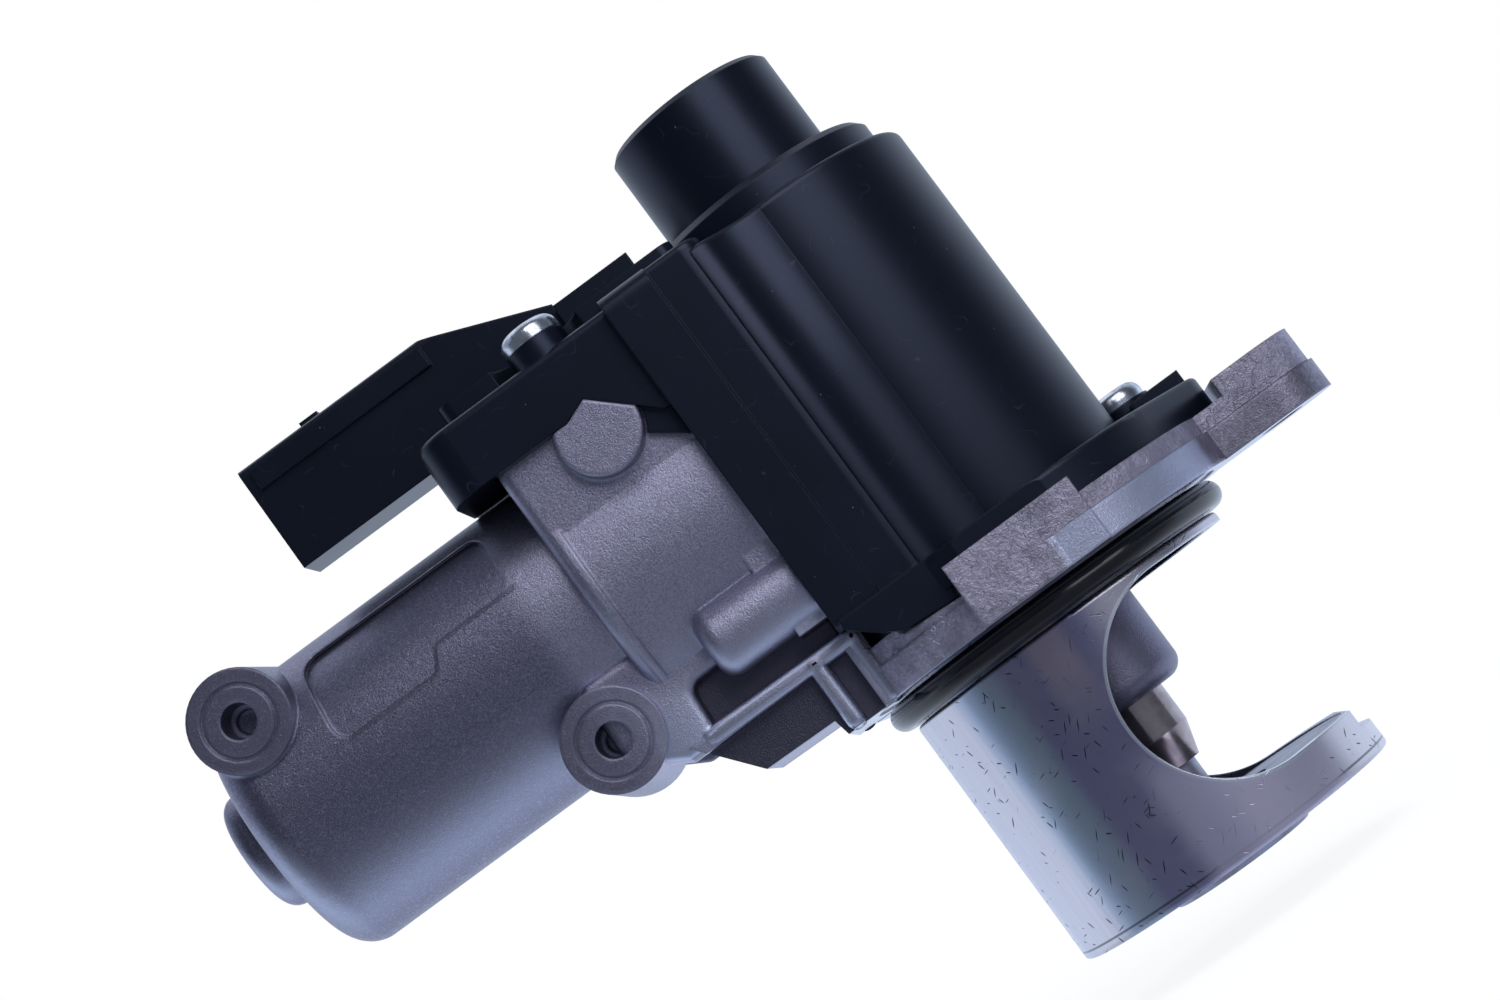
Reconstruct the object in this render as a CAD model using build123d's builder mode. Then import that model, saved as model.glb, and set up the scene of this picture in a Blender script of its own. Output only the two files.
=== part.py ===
"""Motorised exhaust gas recirculation valve, millimetres.

Z is the valve axis, pointing from the poppet to the sensor cap. Z = 0 is the underside of the
mounting flange. X runs along the motor, whose closed end points to -X, and the flange arm
points to +X. The motor turns a pinion, a compound idler and a toothed sector; the sector's
shaft carries a second pinion that drives a rack on the valve stem.
"""

import os
from math import acos, cos, pi, radians, sin, tan

from build123d import *

# ---------------------------------------------------------------- driving dimensions
# clearances
PRESS_GAP = 0.05          # pressed or glued fits between fixed pieces
LOCATING_GAP = 0.15       # a piece that drops into its seat
RUNNING_GAP = 0.04        # radial, shafts in bushes
FREE_GAP = 0.3            # pieces that pass without touching

# spigot tube, steel
SPIGOT_R = 25.0
SPIGOT_BORE_R = 22.4
SPIGOT_LENGTH = 43.2
NECK_R = 23.6             # the O-ring's seat, above the full diameter
NECK_LENGTH = 4.4
NECK_PRESS_DEPTH = 3.0    # into the flange's annular groove
WINDOW_X = 12.6
WINDOW_Z = -21.1
WINDOW_R = 15.25
NOTCH_X = 22.6
NOTCH_Z = -39.3
NOTCH_HALF = 11.5

# O-ring
O_RING_CORD_R = 1.95

# poppet and its guide
STEM_R = 3.0
HEAD_R = 11.4
HEAD_EDGE = 0.7
SEAT_PORT_R = 9.8
SEAT_RING_TOP_Z = -36.6
SEAT_RING_FOOT_Z = -43.0
SEAT_CHAMFER = 1.4
SEAT_GAP = 0.12
HEAD_FOOT_Z = -44.8
GUIDE_BOSS_R = 9.5
GUIDE_BOSS_LENGTH = 19.0
BUSH_R = 5.3
BUSH_SHOULDER_Z = -24.7
BUSH_TIP_R = 3.9
BUSH_TIP_Z = -29.5
BUSH_TOP_Z = -7.0
SEAL_R = 6.55
SEAL_FOOT_Z = 1.4

# flange of the casting
FLANGE_R = 31.0
FLANGE_LOWER_H = 4.5
FLANGE_H = 7.2
PARTING_STEP = 0.5        # the lower half of the casting stands out by this
ARM_HOLE_X = 40.0
ARM_HALF_W = 8.2
ARM_H = 9.9
ARM_BLOCK_X = 34.6
EAR_HOLE_RADIUS = 40.0
EAR_ANGLE = 120.0         # second bolt ear, from the arm
BOLT_HOLE_R = 3.4
RING_RELIEF_R = 28.3      # shallow relief in the flange's face, round the O-ring
RING_RELIEF_DEPTH = 0.3
BLOCK_HALF_W = 9.9        # upstanding block on the -Y side of the flange
BLOCK_FRONT_Y = -31.3
BLOCK_BACK_Y = -28.0
BLOCK_H = 9.6

# motor barrel
MOTOR_Z = 35.0
BARREL_R = 19.7
BARREL_END_X = -105.0
BARREL_END_FILLET = 5.0
DOME_R = 9.0
DOME_X = -109.6
MOTOR_BORE_R = 16.6
BOSS_R = 7.25
BOSS_RING_R = 5.3
BOSS_FACE_Y = -19.2
BOSS_BACK_Y = 6.0
BOSS_UPPER = (-97.0, 49.2)
BOSS_LOWER = (-57.9, 17.6)
BOSS_HOLE_R = 2.5
BOSS_HOLE_DEPTH = 6.0
BOSS_TIP_R = 1.75
BOSS_TIP_DEPTH = 1.5

# middle of the casting, between the barrel and the gear chamber
MIDDLE_X = -50.0
MIDDLE_R = 23.0
MIDDLE_HALF_W = 21.5
MIDDLE_TOP_Z = 56.5
MIDDLE_TOP_FILLET = 2.0
TERMINAL_WINDOW_X = (-41.0, -33.0)
TERMINAL_WINDOW_HALF_W = 6.0
CHAMBER_X = -25.5         # outer edge of the cover's frame
COLLAR_X = -22.0          # face of the collar inside the cover
COLLAR_TOP_Z = 61.7
COLLAR_BACK_X = -25.4
COLLAR_HALF_W = 22.7
COLLAR_FOOT_Z = 13.9
LUG_Y = 18.8
LUG_Z = 19.7
LUG_R = 5.2
LUG_X = -41.0
PAD_X = -35.4
PAD_Z = 51.2
PAD_R = 6.1
PAD_EDGE = 0.6
PAD_FACE_Y = -24.2
PAD_T = 8.0
GUSSET_HALF = 19.0
GUSSET_TOP_Z = 10.8
NECK_END_FACE_X = -23.3
CORE_HALF_W = 14.5
NECK_CORE_X = -47.0
NECK_CORE_TOP_Z = 17.0
RIB_T = 1.5
RIB_X = -30.6
MIDDLE_RIB_T = 1.8
POCKET_DEPTH = 3.2
RECESS_DEPTH = 0.7
BEAD_W = 1.1              # raised bead along the middle's edge
BEAD_H = 0.4
RECESS_CORNER_R = 2.4
RECESS_OUTLINE = [        # side view, (x, z)
    (-87.4, 51.6),
    (-87.6, 38.6),
    (-71.6, 38.6),
    (-70.0, 42.0),
    (-57.4, 42.0),
    (-57.4, 51.6),
]

# gear cover, moulded
COVER_WALL = 2.5
DRUM_R = 21.5             # round part, round the valve axis
DRUM_TOP_Z = 63.5
DRUM_TOP_FILLET = 1.0
BOX_X = -9.6              # where the box part ends
BOX_TOP_Z = 64.8
BOX_CORNER_R = 3.2
BOX_HALF_W = 25.5
BOX_FOOT_Z = 11.2
FRAME_X = -18.0
FRAME_HALF_W = 26.3
FRAME_TOP_Z = 65.1
RIM_R = 28.6              # flange of the cover, round part
RIM_TOP_Z = 12.2
RIM_EAR = (26.6, 1.5)
RIM_EAR_R = 7.4
LID_X = -57.0             # lid over the motor's terminal space
LID_HALF_W = 24.0
LID_TOP_Z = 64.0
LID_SKIRT_Z = 54.5
LID_GUSSET = ((-34.5, 55.9), (-26.5, 48.4))   # slanting foot of the skirt beside the frame
SKIRT_X = (-46.0, -38.0)
SKIRT_RISE = [
    (SKIRT_X[1], LID_SKIRT_Z - 1),
    (SKIRT_X[1], LID_SKIRT_Z),
    LID_GUSSET[0],
    (-31.94, LID_SKIRT_Z - 1),
]
WEB_T = 0.9               # thin web under the skirt's foot
WEB_OUTLINE = [(-30.6, 47.6), (-25.0, 43.4), (-25.0, 54.0), (-32.0, 54.0)]
LID_WALL = 3.0
LID_INNER_X = -50.6
LID_INNER_HALF_W = 21.8
LID_CORNER_R = 5.0
LID_SEAT_Z = 66.5         # under the heads of the lid's screws
COVER_INNER_HALF_W = 23.0
COVER_SEAL_R = (22.3, 23.9)
COVER_SEAL_T = 1.1
PANEL_TOP_Z = 67.0
PANEL_HALF_W = 20.0
PANEL_X = (-51.4, -13.0)
PANEL_CUT_GAP = 2.6        # round the heads of the lid's screws
SADDLE_TOP_Z = 71.2
SADDLE_X = (-31.0, -18.6)
SADDLE_HALF_W = 8.5

# sensor cap
CAP_R = 13.04
CAP_TOP_Z = 83.8
CAP_DISC_R = 18.6
CAP_DISC_TOP_Z = 67.75
CAP_SPIGOT_R = 16.3
CAP_BORE_R = 10.6
CAP_SPIGOT_Z = 61.0
CAP_WEB_Z = (62.0, 64.0)   # wall between gear chamber and sensor
BOARD_X = (5.0, 6.2)

# connector
SOCKET_X = (-80.0, -49.4)
SOCKET_Z = (63.0, 79.4)
SOCKET_HALF_W = 5.3
SOCKET_WALL = 1.3
SOCKET_DEPTH = 19.0
NIB_X = (-69.4, -66.4)     # latch nib on top of the socket
NIB_HALF_W = 2.0
NIB_H = 1.0
NECK_END_X = -31.05
NECK_END_Z = 72.1
TERMINAL_END_X = -52.0
TERMINAL_COUNT = 5
TERMINAL_PITCH = 2.5

# gear train
MODULE = 1.0
PRESSURE_ANGLE = 25.0
ADDENDUM = 0.8
DEDENDUM = 1.05
BACKLASH = 0.12           # taken off each flank
MOTOR_TEETH = 10
IDLER_TEETH = 22
IDLER_PINION_TEETH = 10
SECTOR_TEETH = 32
SECTOR_START = 88.65      # first edge of the sector at rest, degrees from +Y
SECTOR_HUB_R = 5.5
RACK_PINION_TEETH = 12
MOTOR_TO_IDLER = 133.5    # degrees, from +Y towards +Z
IDLER_TO_SECTOR = -12.6
GEAR_PLATE_T = 3.4
PLATE_HALF_W = 21.0
PLATE_HALF_H = 19.5
PLATE_CORNER_R = 4.0
WHEEL_X = (-21.3, -17.8)
SECTOR_X = (-17.2, -13.2)
RACK_PINION_X = (-4.5, 4.5)
OUTPUT_SHAFT_R = 3.0
OUTPUT_SHAFT_END = 12.0
IDLER_PIN_R = 2.0
IDLER_PIN_END = -12.6
BUSHING_R = 4.5
OUTPUT_BUSH_X = (8.1, 12.4)

# motor
CAN_R = 16.4
CAN_T = 1.3
CAN_X = (-100.8, -27.6)
MAGNET_T = 2.0
MAGNET_X = (-90.0, -48.0)
MAGNET_HALF_ANGLE = 62.0
CORE_R = 12.5
CORE_X = (-86.0, -52.0)
CORE_SLOTS = 7
SLOT_RADIUS = 8.6
SLOT_DEPTH = 4.4
SLOT_W = 3.6
SLOT_MOUTH_W = 1.4
WINDING_END = 3.5
SHAFT_R = 1.6
MOTOR_BEARING_R = 5.0
MOTOR_FLOOR_X = -101.4    # end of the motor's bore
REAR_BEARING_X = (-106.3, -101.6)
FRONT_BEARING_X = (-25.3, -22.1)
COMMUTATOR_R = 4.6
COMMUTATOR_X = (-45.5, -37.0)
BRUSH_X = (-43.5, -38.5)
BRUSH_HALF_W = 2.0
HOLDER_X = (-36.6, -34.8)

# return spring
SPRING_R = 10.4
SPRING_WIRE_R = 0.85
SPRING_BASE_Z = 8.5
SPRING_TOP_Z = 31.4
SPRING_COILS = 5
RETAINER_R = 12.0
RETAINER_T = 1.6
RACK_FOOT_Z = 33.2
SHANK_R = 1.9
SHANK_TOP_Z = 46.0
PEG_R = 1.2
PEG_L = 4.0
CARRIER_R = 3.0
CARRIER_TOP_Z = 71.0
POSITION_MAGNET_R = 2.2
MAGNET_L = 5.0
RACK_TOP_Z = 57.0

# screws
COVER_SCREW_R = 1.7
COVER_SCREW_HEAD_R = 4.35
COVER_SCREW_HEAD_H = 2.6
COVER_SCREW_DOME_R = 1.8
DRIVE_R = 1.9
DRIVE_DEPTH = 1.3
LID_SCREW_X = -35.6
LID_SCREW_Y = 19.4
RIM_SCREW = (24.2, 13.6)
RIM_SEAT_Z = 15.2
RIM_BOSS_R = 4.75
FAR_SCREW = (1.0, 27.0)
LID_SCREW_FOOT_Z = 49.0
RIM_SCREW_FOOT_Z = 1.2
PLATE_SCREW_Y = 18.0
PLATE_SCREW_Z = 15.3      # above and below the motor axis
SMALL_SCREW_R = 1.45
SMALL_SCREW_L = 9.0
SMALL_HEAD_R = 2.8
SMALL_HEAD_H = 1.4
MOTOR_SCREW_L = 6.5
MOTOR_SCREW_RADIUS = 11.5
MOTOR_SCREW_ANGLE = -20.0

TONGUE_T = 2.4            # tongue under the cover's frame, beside the flange's block
TONGUE_X = (-24.6, -21.6, -18.4)
TONGUE_Z = (8.2, 6.2, 5.6)
RIM_TAB_X = (25.0, 32.8)
RIM_TAB_Y = (2.0, 8.0)
RIM_TAB_H = 2.1

# ---------------------------------------------------------------- worked out from them
IDLER_CENTRE = MODULE * (MOTOR_TEETH + IDLER_TEETH) / 2
SECTOR_CENTRE = MODULE * (IDLER_PINION_TEETH + SECTOR_TEETH) / 2
RACK_PINION_R = MODULE * RACK_PINION_TEETH / 2
IDLER_Y = IDLER_CENTRE * cos(radians(MOTOR_TO_IDLER))
IDLER_Z = MOTOR_Z + IDLER_CENTRE * sin(radians(MOTOR_TO_IDLER))
OUTPUT_Y = IDLER_Y + SECTOR_CENTRE * cos(radians(IDLER_TO_SECTOR))
OUTPUT_Z = IDLER_Z + SECTOR_CENTRE * sin(radians(IDLER_TO_SECTOR))
RACK_Y = OUTPUT_Y - RACK_PINION_R
PLATE_X = COLLAR_X - GEAR_PLATE_T
OUTPUT_BUSH_T = OUTPUT_BUSH_X[1] - OUTPUT_BUSH_X[0]

parts = []


def finish(builder, name):
    """Labels a finished piece and keeps it for export."""
    builder.part.label = name
    parts.append(builder.part)


def polar(radius, angle):
    """A point at an angle in radians."""
    return radius * cos(angle), radius * sin(angle)


def involute(angle):
    return tan(angle) - angle


def outline(points):
    """A face bounded by straight runs, in the open sketch."""
    with BuildLine() as runs:
        Polyline(*points, close=True)
    make_face(runs.edges())


def block(x_range, y_range, z_range, mode=Mode.ADD):
    """A straight block between three pairs of values, in the open part."""
    centre = tuple((a + b) / 2 for a, b in (x_range, y_range, z_range))
    with Locations(centre):
        Box(
            x_range[1] - x_range[0],
            y_range[1] - y_range[0],
            z_range[1] - z_range[0],
            mode=mode,
        )


def rod(plane_offset, centre, radius, length, mode=Mode.ADD):
    """A round bar along X from plane_offset, at (y, z)."""
    with BuildSketch(Plane.YZ.offset(plane_offset)) as disc:
        with Locations(centre):
            Circle(radius)
    extrude(disc.sketch, amount=length, mode=mode)


def post(z, centre, radius, length, mode=Mode.ADD):
    """A round bar along Z from height z, at (x, y)."""
    with BuildSketch(Plane.XY.offset(z)) as disc:
        with Locations(centre):
            Circle(radius)
    extrude(disc.sketch, amount=length, mode=mode)


def gear_outline(teeth, phase):
    """A whole spur gear's face with involute flanks; one tooth is centred at phase."""
    pitch_r = MODULE * teeth / 2
    base_r = pitch_r * cos(radians(PRESSURE_ANGLE))
    root_r = pitch_r - DEDENDUM * MODULE
    tip_r = pitch_r + ADDENDUM * MODULE
    start_r = max(base_r, root_r)
    half_at_pitch = pi / (2 * teeth) - BACKLASH / pitch_r

    def half(radius):
        return half_at_pitch + involute(radians(PRESSURE_ANGLE)) - involute(acos(base_r / radius))

    def flank(centre, side, radius):
        return polar(radius, centre + side * half(radius))

    middle_r = (start_r + tip_r) / 2
    step = 2 * pi / teeth
    with BuildLine() as teeth_edge:
        for i in range(teeth):
            a = phase + i * step
            foot = polar(root_r, a - half(start_r))
            heel = polar(root_r, a + half(start_r))
            if start_r > root_r:
                Line(foot, flank(a, -1, start_r))
                Line(flank(a, 1, start_r), heel)
            ThreePointArc(flank(a, -1, start_r), flank(a, -1, middle_r), flank(a, -1, tip_r))
            Line(flank(a, -1, tip_r), flank(a, 1, tip_r))
            ThreePointArc(flank(a, 1, tip_r), flank(a, 1, middle_r), flank(a, 1, start_r))
            Line(heel, polar(root_r, a + step - half(start_r)))
    make_face(teeth_edge.edges())


def gear(x_range, centre, teeth, phase):
    """A spur gear along X in the open part."""
    with BuildSketch(Plane.YZ.offset(x_range[0])) as face:
        with BuildSketch(mode=Mode.PRIVATE) as tooth_form:
            gear_outline(teeth, phase)
        with Locations(centre):
            add(tooth_form.sketch)
    extrude(face.sketch, amount=x_range[1] - x_range[0])


def turned(points, axis, plane=Plane.XZ, mode=Mode.ADD):
    """A body of revolution from a closed run of (along, out) points."""
    with BuildSketch(plane) as profile:
        outline(points)
    revolve(profile.sketch, axis=axis, mode=mode)


def tongue_outline(gap):
    """Side view of the cover's tongue, which drops from the frame over the flange, grown by gap."""
    outline(
        [
            (TONGUE_X[0], BOX_FOOT_Z + 1),
            (TONGUE_X[0] - gap, BOX_FOOT_Z - 0.4),
            (TONGUE_X[1] - gap, TONGUE_Z[0] - gap),
            (TONGUE_X[2], TONGUE_Z[1] - gap),
            (-BLOCK_HALF_W - FREE_GAP + gap, TONGUE_Z[2] - gap),
            (-BLOCK_HALF_W - FREE_GAP + gap, BOX_FOOT_Z + 1),
        ]
    )


# ---------------------------------------------------------------- valve body, die cast
with BuildPart() as middle_form:
    with BuildSketch(Plane.YZ.offset(MIDDLE_X)) as middle_outline:
        with Locations((0, MOTOR_Z)):
            Circle(MIDDLE_R)
        with Locations((0, (MOTOR_Z + MIDDLE_TOP_Z) / 2)):
            Rectangle(2 * MIDDLE_HALF_W, MIDDLE_TOP_Z - MOTOR_Z)
        with Locations((0, MIDDLE_TOP_Z + 5)):
            Rectangle(60, 10, mode=Mode.SUBTRACT)
        fillet(middle_outline.vertices().group_by(Axis.Y)[-1], radius=MIDDLE_TOP_FILLET)
    extrude(amount=COLLAR_X - MIDDLE_X)
    fillet(middle_form.edges().group_by(Axis.X)[0], radius=1.6)
    # raised bead along the edge towards the barrel
    with BuildSketch(Plane.YZ.offset(MIDDLE_X + 1.6)):
        with Locations((0, MOTOR_Z)):
            Circle(MIDDLE_R + BEAD_H)
        with Locations((0, MIDDLE_TOP_Z)):
            Rectangle(60, 2 * MIDDLE_TOP_FILLET, mode=Mode.SUBTRACT)
    extrude(amount=BEAD_W)

with BuildPart() as lug_form:
    rod(LUG_X, (-LUG_Y, LUG_Z), LUG_R, CHAMBER_X - LUG_X)
    fillet(lug_form.edges().group_by(Axis.X)[0], radius=2.4)

with BuildPart() as barrel_form:
    rod(BARREL_END_X, (0, MOTOR_Z), BARREL_R, MIDDLE_X - BARREL_END_X + 4)
    fillet(barrel_form.edges().group_by(Axis.X)[0], radius=BARREL_END_FILLET)

with BuildPart() as dome_form:
    rod(DOME_X, (0, MOTOR_Z), DOME_R, BARREL_END_X - DOME_X + 2)
    fillet(dome_form.edges().group_by(Axis.X)[0], radius=2.4)

with BuildPart() as pad_form:
    with BuildSketch(Plane.XZ.offset(-PAD_FACE_Y)):
        with Locations((PAD_X, PAD_Z)):
            Circle(PAD_R)
    extrude(amount=-PAD_T)
    fillet(pad_form.edges().group_by(Axis.Y)[0], radius=PAD_EDGE)

with BuildPart() as collar_form:
    block((COLLAR_BACK_X, COLLAR_X), (-COLLAR_HALF_W, COLLAR_HALF_W), (COLLAR_FOOT_Z, COLLAR_TOP_Z))
    fillet(collar_form.edges().filter_by(Axis.X).group_by(Axis.Z)[-1], radius=3)

with BuildPart() as guide_boss_form:
    post(-GUIDE_BOSS_LENGTH, (0, 0), GUIDE_BOSS_R, GUIDE_BOSS_LENGTH + 2)
    fillet(guide_boss_form.edges().group_by(Axis.Z)[0], radius=2.6)

EAR_X = EAR_HOLE_RADIUS * cos(radians(EAR_ANGLE))
EAR_Y = EAR_HOLE_RADIUS * sin(radians(EAR_ANGLE))


def flange_outline(step):
    """The flange in plan: a round plate drawn out to the arm and to the far bolt ear."""
    with BuildSketch(mode=Mode.PRIVATE) as round_and_ear:
        Circle(FLANGE_R - step)
        with Locations((EAR_X, EAR_Y)):
            Circle(ARM_HALF_W - step)
        make_hull(round_and_ear.edges())
    add(round_and_ear.sketch)
    with Locations((ARM_HOLE_X / 2, 0)):
        Rectangle(ARM_HOLE_X, 2 * (ARM_HALF_W - step))
    with Locations((ARM_HOLE_X, 0)):
        Circle(ARM_HALF_W - step)


def gusset_outline(inset):
    """Side view of the neck between motor and flange, drawn in by a rib's thickness."""
    outline(
        [
            (NECK_END_FACE_X - 2 * inset, -inset),
            (-32.5, -inset),
            (-33.0, 2.5 - inset),
            (-44.0, 2.7 - inset),
            (-50.6 + inset, GUSSET_TOP_Z - 1.3 * inset),
            (NECK_END_FACE_X - 2 * inset, GUSSET_TOP_Z - inset),
        ]
    )


def skirt_outline(gap):
    """Side view of the lid's skirt over the pad, with its slanting foot beside the frame, grown by gap."""
    outline(
        [
            (SKIRT_X[0], LID_SKIRT_Z - gap),
            (SKIRT_X[1], LID_SKIRT_Z - gap),
            (LID_GUSSET[0][0], LID_GUSSET[0][1] - gap),
            (LID_GUSSET[1][0], LID_GUSSET[1][1] - gap),
            (CHAMBER_X + 1, LID_GUSSET[1][1] - gap),
            (CHAMBER_X + 1, LID_TOP_Z - LID_WALL),
            (SKIRT_X[0], LID_TOP_Z - LID_WALL),
        ]
    )


with BuildPart() as valve_body:
    add(barrel_form.part)
    add(dome_form.part)
    add(middle_form.part)
    add(lug_form.part)
    mirror(lug_form.part, about=Plane.XZ)
    block((-30, COLLAR_X), (-MIDDLE_HALF_W, MIDDLE_HALF_W), (COLLAR_FOOT_Z, MOTOR_Z))
    add(collar_form.part)
    # screw bosses on the barrel
    for x, z in (BOSS_UPPER, BOSS_LOWER):
        with BuildSketch(Plane.XZ.offset(-BOSS_FACE_Y)):
            with Locations((x, z)):
                Circle(BOSS_R)
        extrude(amount=-(BOSS_BACK_Y - BOSS_FACE_Y), taper=-1.5)
    # round pads beside the lid's screws
    add(pad_form.part)
    mirror(pad_form.part, about=Plane.XZ)
    # neck between motor and flange: an outer frame of ribs, and a narrower core above it
    with BuildSketch(Plane.XZ):
        gusset_outline(0)
    extrude(amount=GUSSET_HALF, both=True)
    block((NECK_CORE_X, CHAMBER_X - FREE_GAP), (-CORE_HALF_W, CORE_HALF_W), (GUSSET_TOP_Z - 1, NECK_CORE_TOP_Z))
    # flange, in two halves that meet at the casting's parting line
    with BuildSketch(Plane.XY):
        flange_outline(0)
        with Locations((-27, 0)):
            Rectangle(11, 2 * GUSSET_HALF)
    extrude(amount=FLANGE_LOWER_H)
    with BuildSketch(Plane.XY.offset(FLANGE_LOWER_H)):
        flange_outline(PARTING_STEP)
    extrude(amount=FLANGE_H - FLANGE_LOWER_H)
    with BuildSketch(Plane.XY.offset(FLANGE_H)):
        flange_outline(PARTING_STEP)
        with Locations((ARM_BLOCK_X - 60, 0)):
            Rectangle(120, 200, mode=Mode.SUBTRACT)
    extrude(amount=ARM_H - FLANGE_H)
    block((-BLOCK_HALF_W, BLOCK_HALF_W), (BLOCK_FRONT_Y, BLOCK_BACK_Y + 6), (0, FLANGE_H))
    block((-BLOCK_HALF_W, BLOCK_HALF_W), (BLOCK_FRONT_Y, BLOCK_BACK_Y), (0, BLOCK_H))
    add(guide_boss_form.part)

    # motor bore, bearing pocket, terminal window, seat for the gear plate
    rod(MOTOR_FLOOR_X, (0, MOTOR_Z), MOTOR_BORE_R, PLATE_X - MOTOR_FLOOR_X, Mode.SUBTRACT)
    rod(REAR_BEARING_X[0] - 0.2, (0, MOTOR_Z), MOTOR_BEARING_R + PRESS_GAP, 8, Mode.SUBTRACT)
    block(
        TERMINAL_WINDOW_X,
        (-TERMINAL_WINDOW_HALF_W, TERMINAL_WINDOW_HALF_W),
        (MOTOR_Z + 10, MIDDLE_TOP_Z + 1),
        Mode.SUBTRACT,
    )
    with BuildSketch(Plane.YZ.offset(PLATE_X)):
        with Locations((0, MOTOR_Z)):
            RectangleRounded(2 * PLATE_HALF_W, 2 * PLATE_HALF_H, PLATE_CORNER_R)
    extrude(amount=GEAR_PLATE_T + 1, mode=Mode.SUBTRACT)
    # guide bore for the bush, clearance for the stem, seat of the stem seal
    post(-GUIDE_BOSS_LENGTH - 1, (0, 0), BUSH_R + PRESS_GAP, BUSH_TOP_Z + GUIDE_BOSS_LENGTH + 1, Mode.SUBTRACT)
    post(BUSH_TOP_Z - 1, (0, 0), STEM_R + 0.6, 20, Mode.SUBTRACT)
    post(SEAL_FOOT_Z, (0, 0), SEAL_R + PRESS_GAP, 12, Mode.SUBTRACT)
    # groove that takes the neck of the spigot tube
    with BuildSketch(Plane.XY):
        Circle(NECK_R + PRESS_GAP)
        Circle(SPIGOT_BORE_R - PRESS_GAP, mode=Mode.SUBTRACT)
    extrude(amount=NECK_PRESS_DEPTH + 0.1, mode=Mode.SUBTRACT)
    with BuildSketch(Plane.XY):
        Circle(RING_RELIEF_R)
        Circle(NECK_R, mode=Mode.SUBTRACT)
    extrude(amount=RING_RELIEF_DEPTH, mode=Mode.SUBTRACT)
    # bolt holes of the arm and the ear
    for spot in ((ARM_HOLE_X, 0), (EAR_X, EAR_Y)):
        post(-1, spot, BOLT_HOLE_R, ARM_H + 2, Mode.SUBTRACT)
    # tapped holes and cast rings in the barrel bosses
    for x, z in (BOSS_UPPER, BOSS_LOWER):
        with BuildSketch(Plane.XZ.offset(-BOSS_FACE_Y)):
            with Locations((x, z)):
                Circle(BOSS_HOLE_R)
        extrude(amount=-BOSS_HOLE_DEPTH, mode=Mode.SUBTRACT)
        with BuildSketch(Plane.XZ.offset(-BOSS_FACE_Y)):
            with Locations((x, z)):
                Circle(BOSS_TIP_R)
        extrude(amount=-BOSS_HOLE_DEPTH - BOSS_TIP_DEPTH, mode=Mode.SUBTRACT)
        with BuildSketch(Plane.XZ.offset(-BOSS_FACE_Y)):
            with Locations((x, z)):
                Circle(BOSS_RING_R)
                Circle(BOSS_RING_R - 0.5, mode=Mode.SUBTRACT)
        extrude(amount=-0.3, mode=Mode.SUBTRACT)
    # screw holes: gear plate, lid, cover rim
    for y in (-PLATE_SCREW_Y, PLATE_SCREW_Y):
        for z in (MOTOR_Z - PLATE_SCREW_Z, MOTOR_Z + PLATE_SCREW_Z):
            rod(COLLAR_X - SMALL_SCREW_L - 1, (y, z), SMALL_SCREW_R + PRESS_GAP, 20, Mode.SUBTRACT)
    for y in (-LID_SCREW_Y, LID_SCREW_Y):
        post(LID_SCREW_FOOT_Z - 1, (LID_SCREW_X, y), COVER_SCREW_R + PRESS_GAP, 20, Mode.SUBTRACT)
    for spot in (RIM_SCREW, FAR_SCREW):
        post(RIM_SCREW_FOOT_Z - 0.4, spot, COVER_SCREW_R + PRESS_GAP, 20, Mode.SUBTRACT)
    # shallow cast recess on the barrel, either side
    with BuildPart(mode=Mode.PRIVATE) as recess:
        with BuildSketch(Plane.XZ):
            with BuildSketch(mode=Mode.PRIVATE) as recess_outline:
                outline(RECESS_OUTLINE)
                fillet(recess_outline.vertices(), radius=RECESS_CORNER_R)
            add(recess_outline.sketch)
        extrude(amount=BARREL_R + 1, both=True)
        rod(BARREL_END_X, (0, MOTOR_Z), BARREL_R - RECESS_DEPTH, MIDDLE_X - BARREL_END_X, Mode.SUBTRACT)
    add(recess.part, mode=Mode.SUBTRACT)
    # pockets between the ribs of the neck
    for side in (-1, 1):
        with BuildSketch(Plane.XZ.offset(-side * GUSSET_HALF)):
            gusset_outline(RIB_T)
            with Locations((RIB_X, GUSSET_TOP_Z / 2)):
                Rectangle(MIDDLE_RIB_T, GUSSET_TOP_Z, mode=Mode.SUBTRACT)
        extrude(amount=side * POCKET_DEPTH, mode=Mode.SUBTRACT)
        # the lid's skirt drops outside the middle, so the pad is cut back there
        with BuildSketch(Plane.XZ.offset(-side * (MIDDLE_HALF_W + PRESS_GAP))):
            skirt_outline(FREE_GAP / 2)
        extrude(amount=-side * 6, mode=Mode.SUBTRACT)
        block(
            (SKIRT_X[0] + 1, CHAMBER_X + 0.5),
            sorted((side * (LID_INNER_HALF_W + 0.2), side * 14)),
            (MIDDLE_TOP_Z, MIDDLE_TOP_Z + 3.5),
            Mode.SUBTRACT,
        )
    # notch in the flange for the cover's tongue
    with BuildSketch(Plane.XZ.offset(FRAME_HALF_W + 6)):
        tongue_outline(FREE_GAP)
    extrude(amount=-TONGUE_T - 6 - FREE_GAP, mode=Mode.SUBTRACT)
finish(valve_body, "valve_body")

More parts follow.
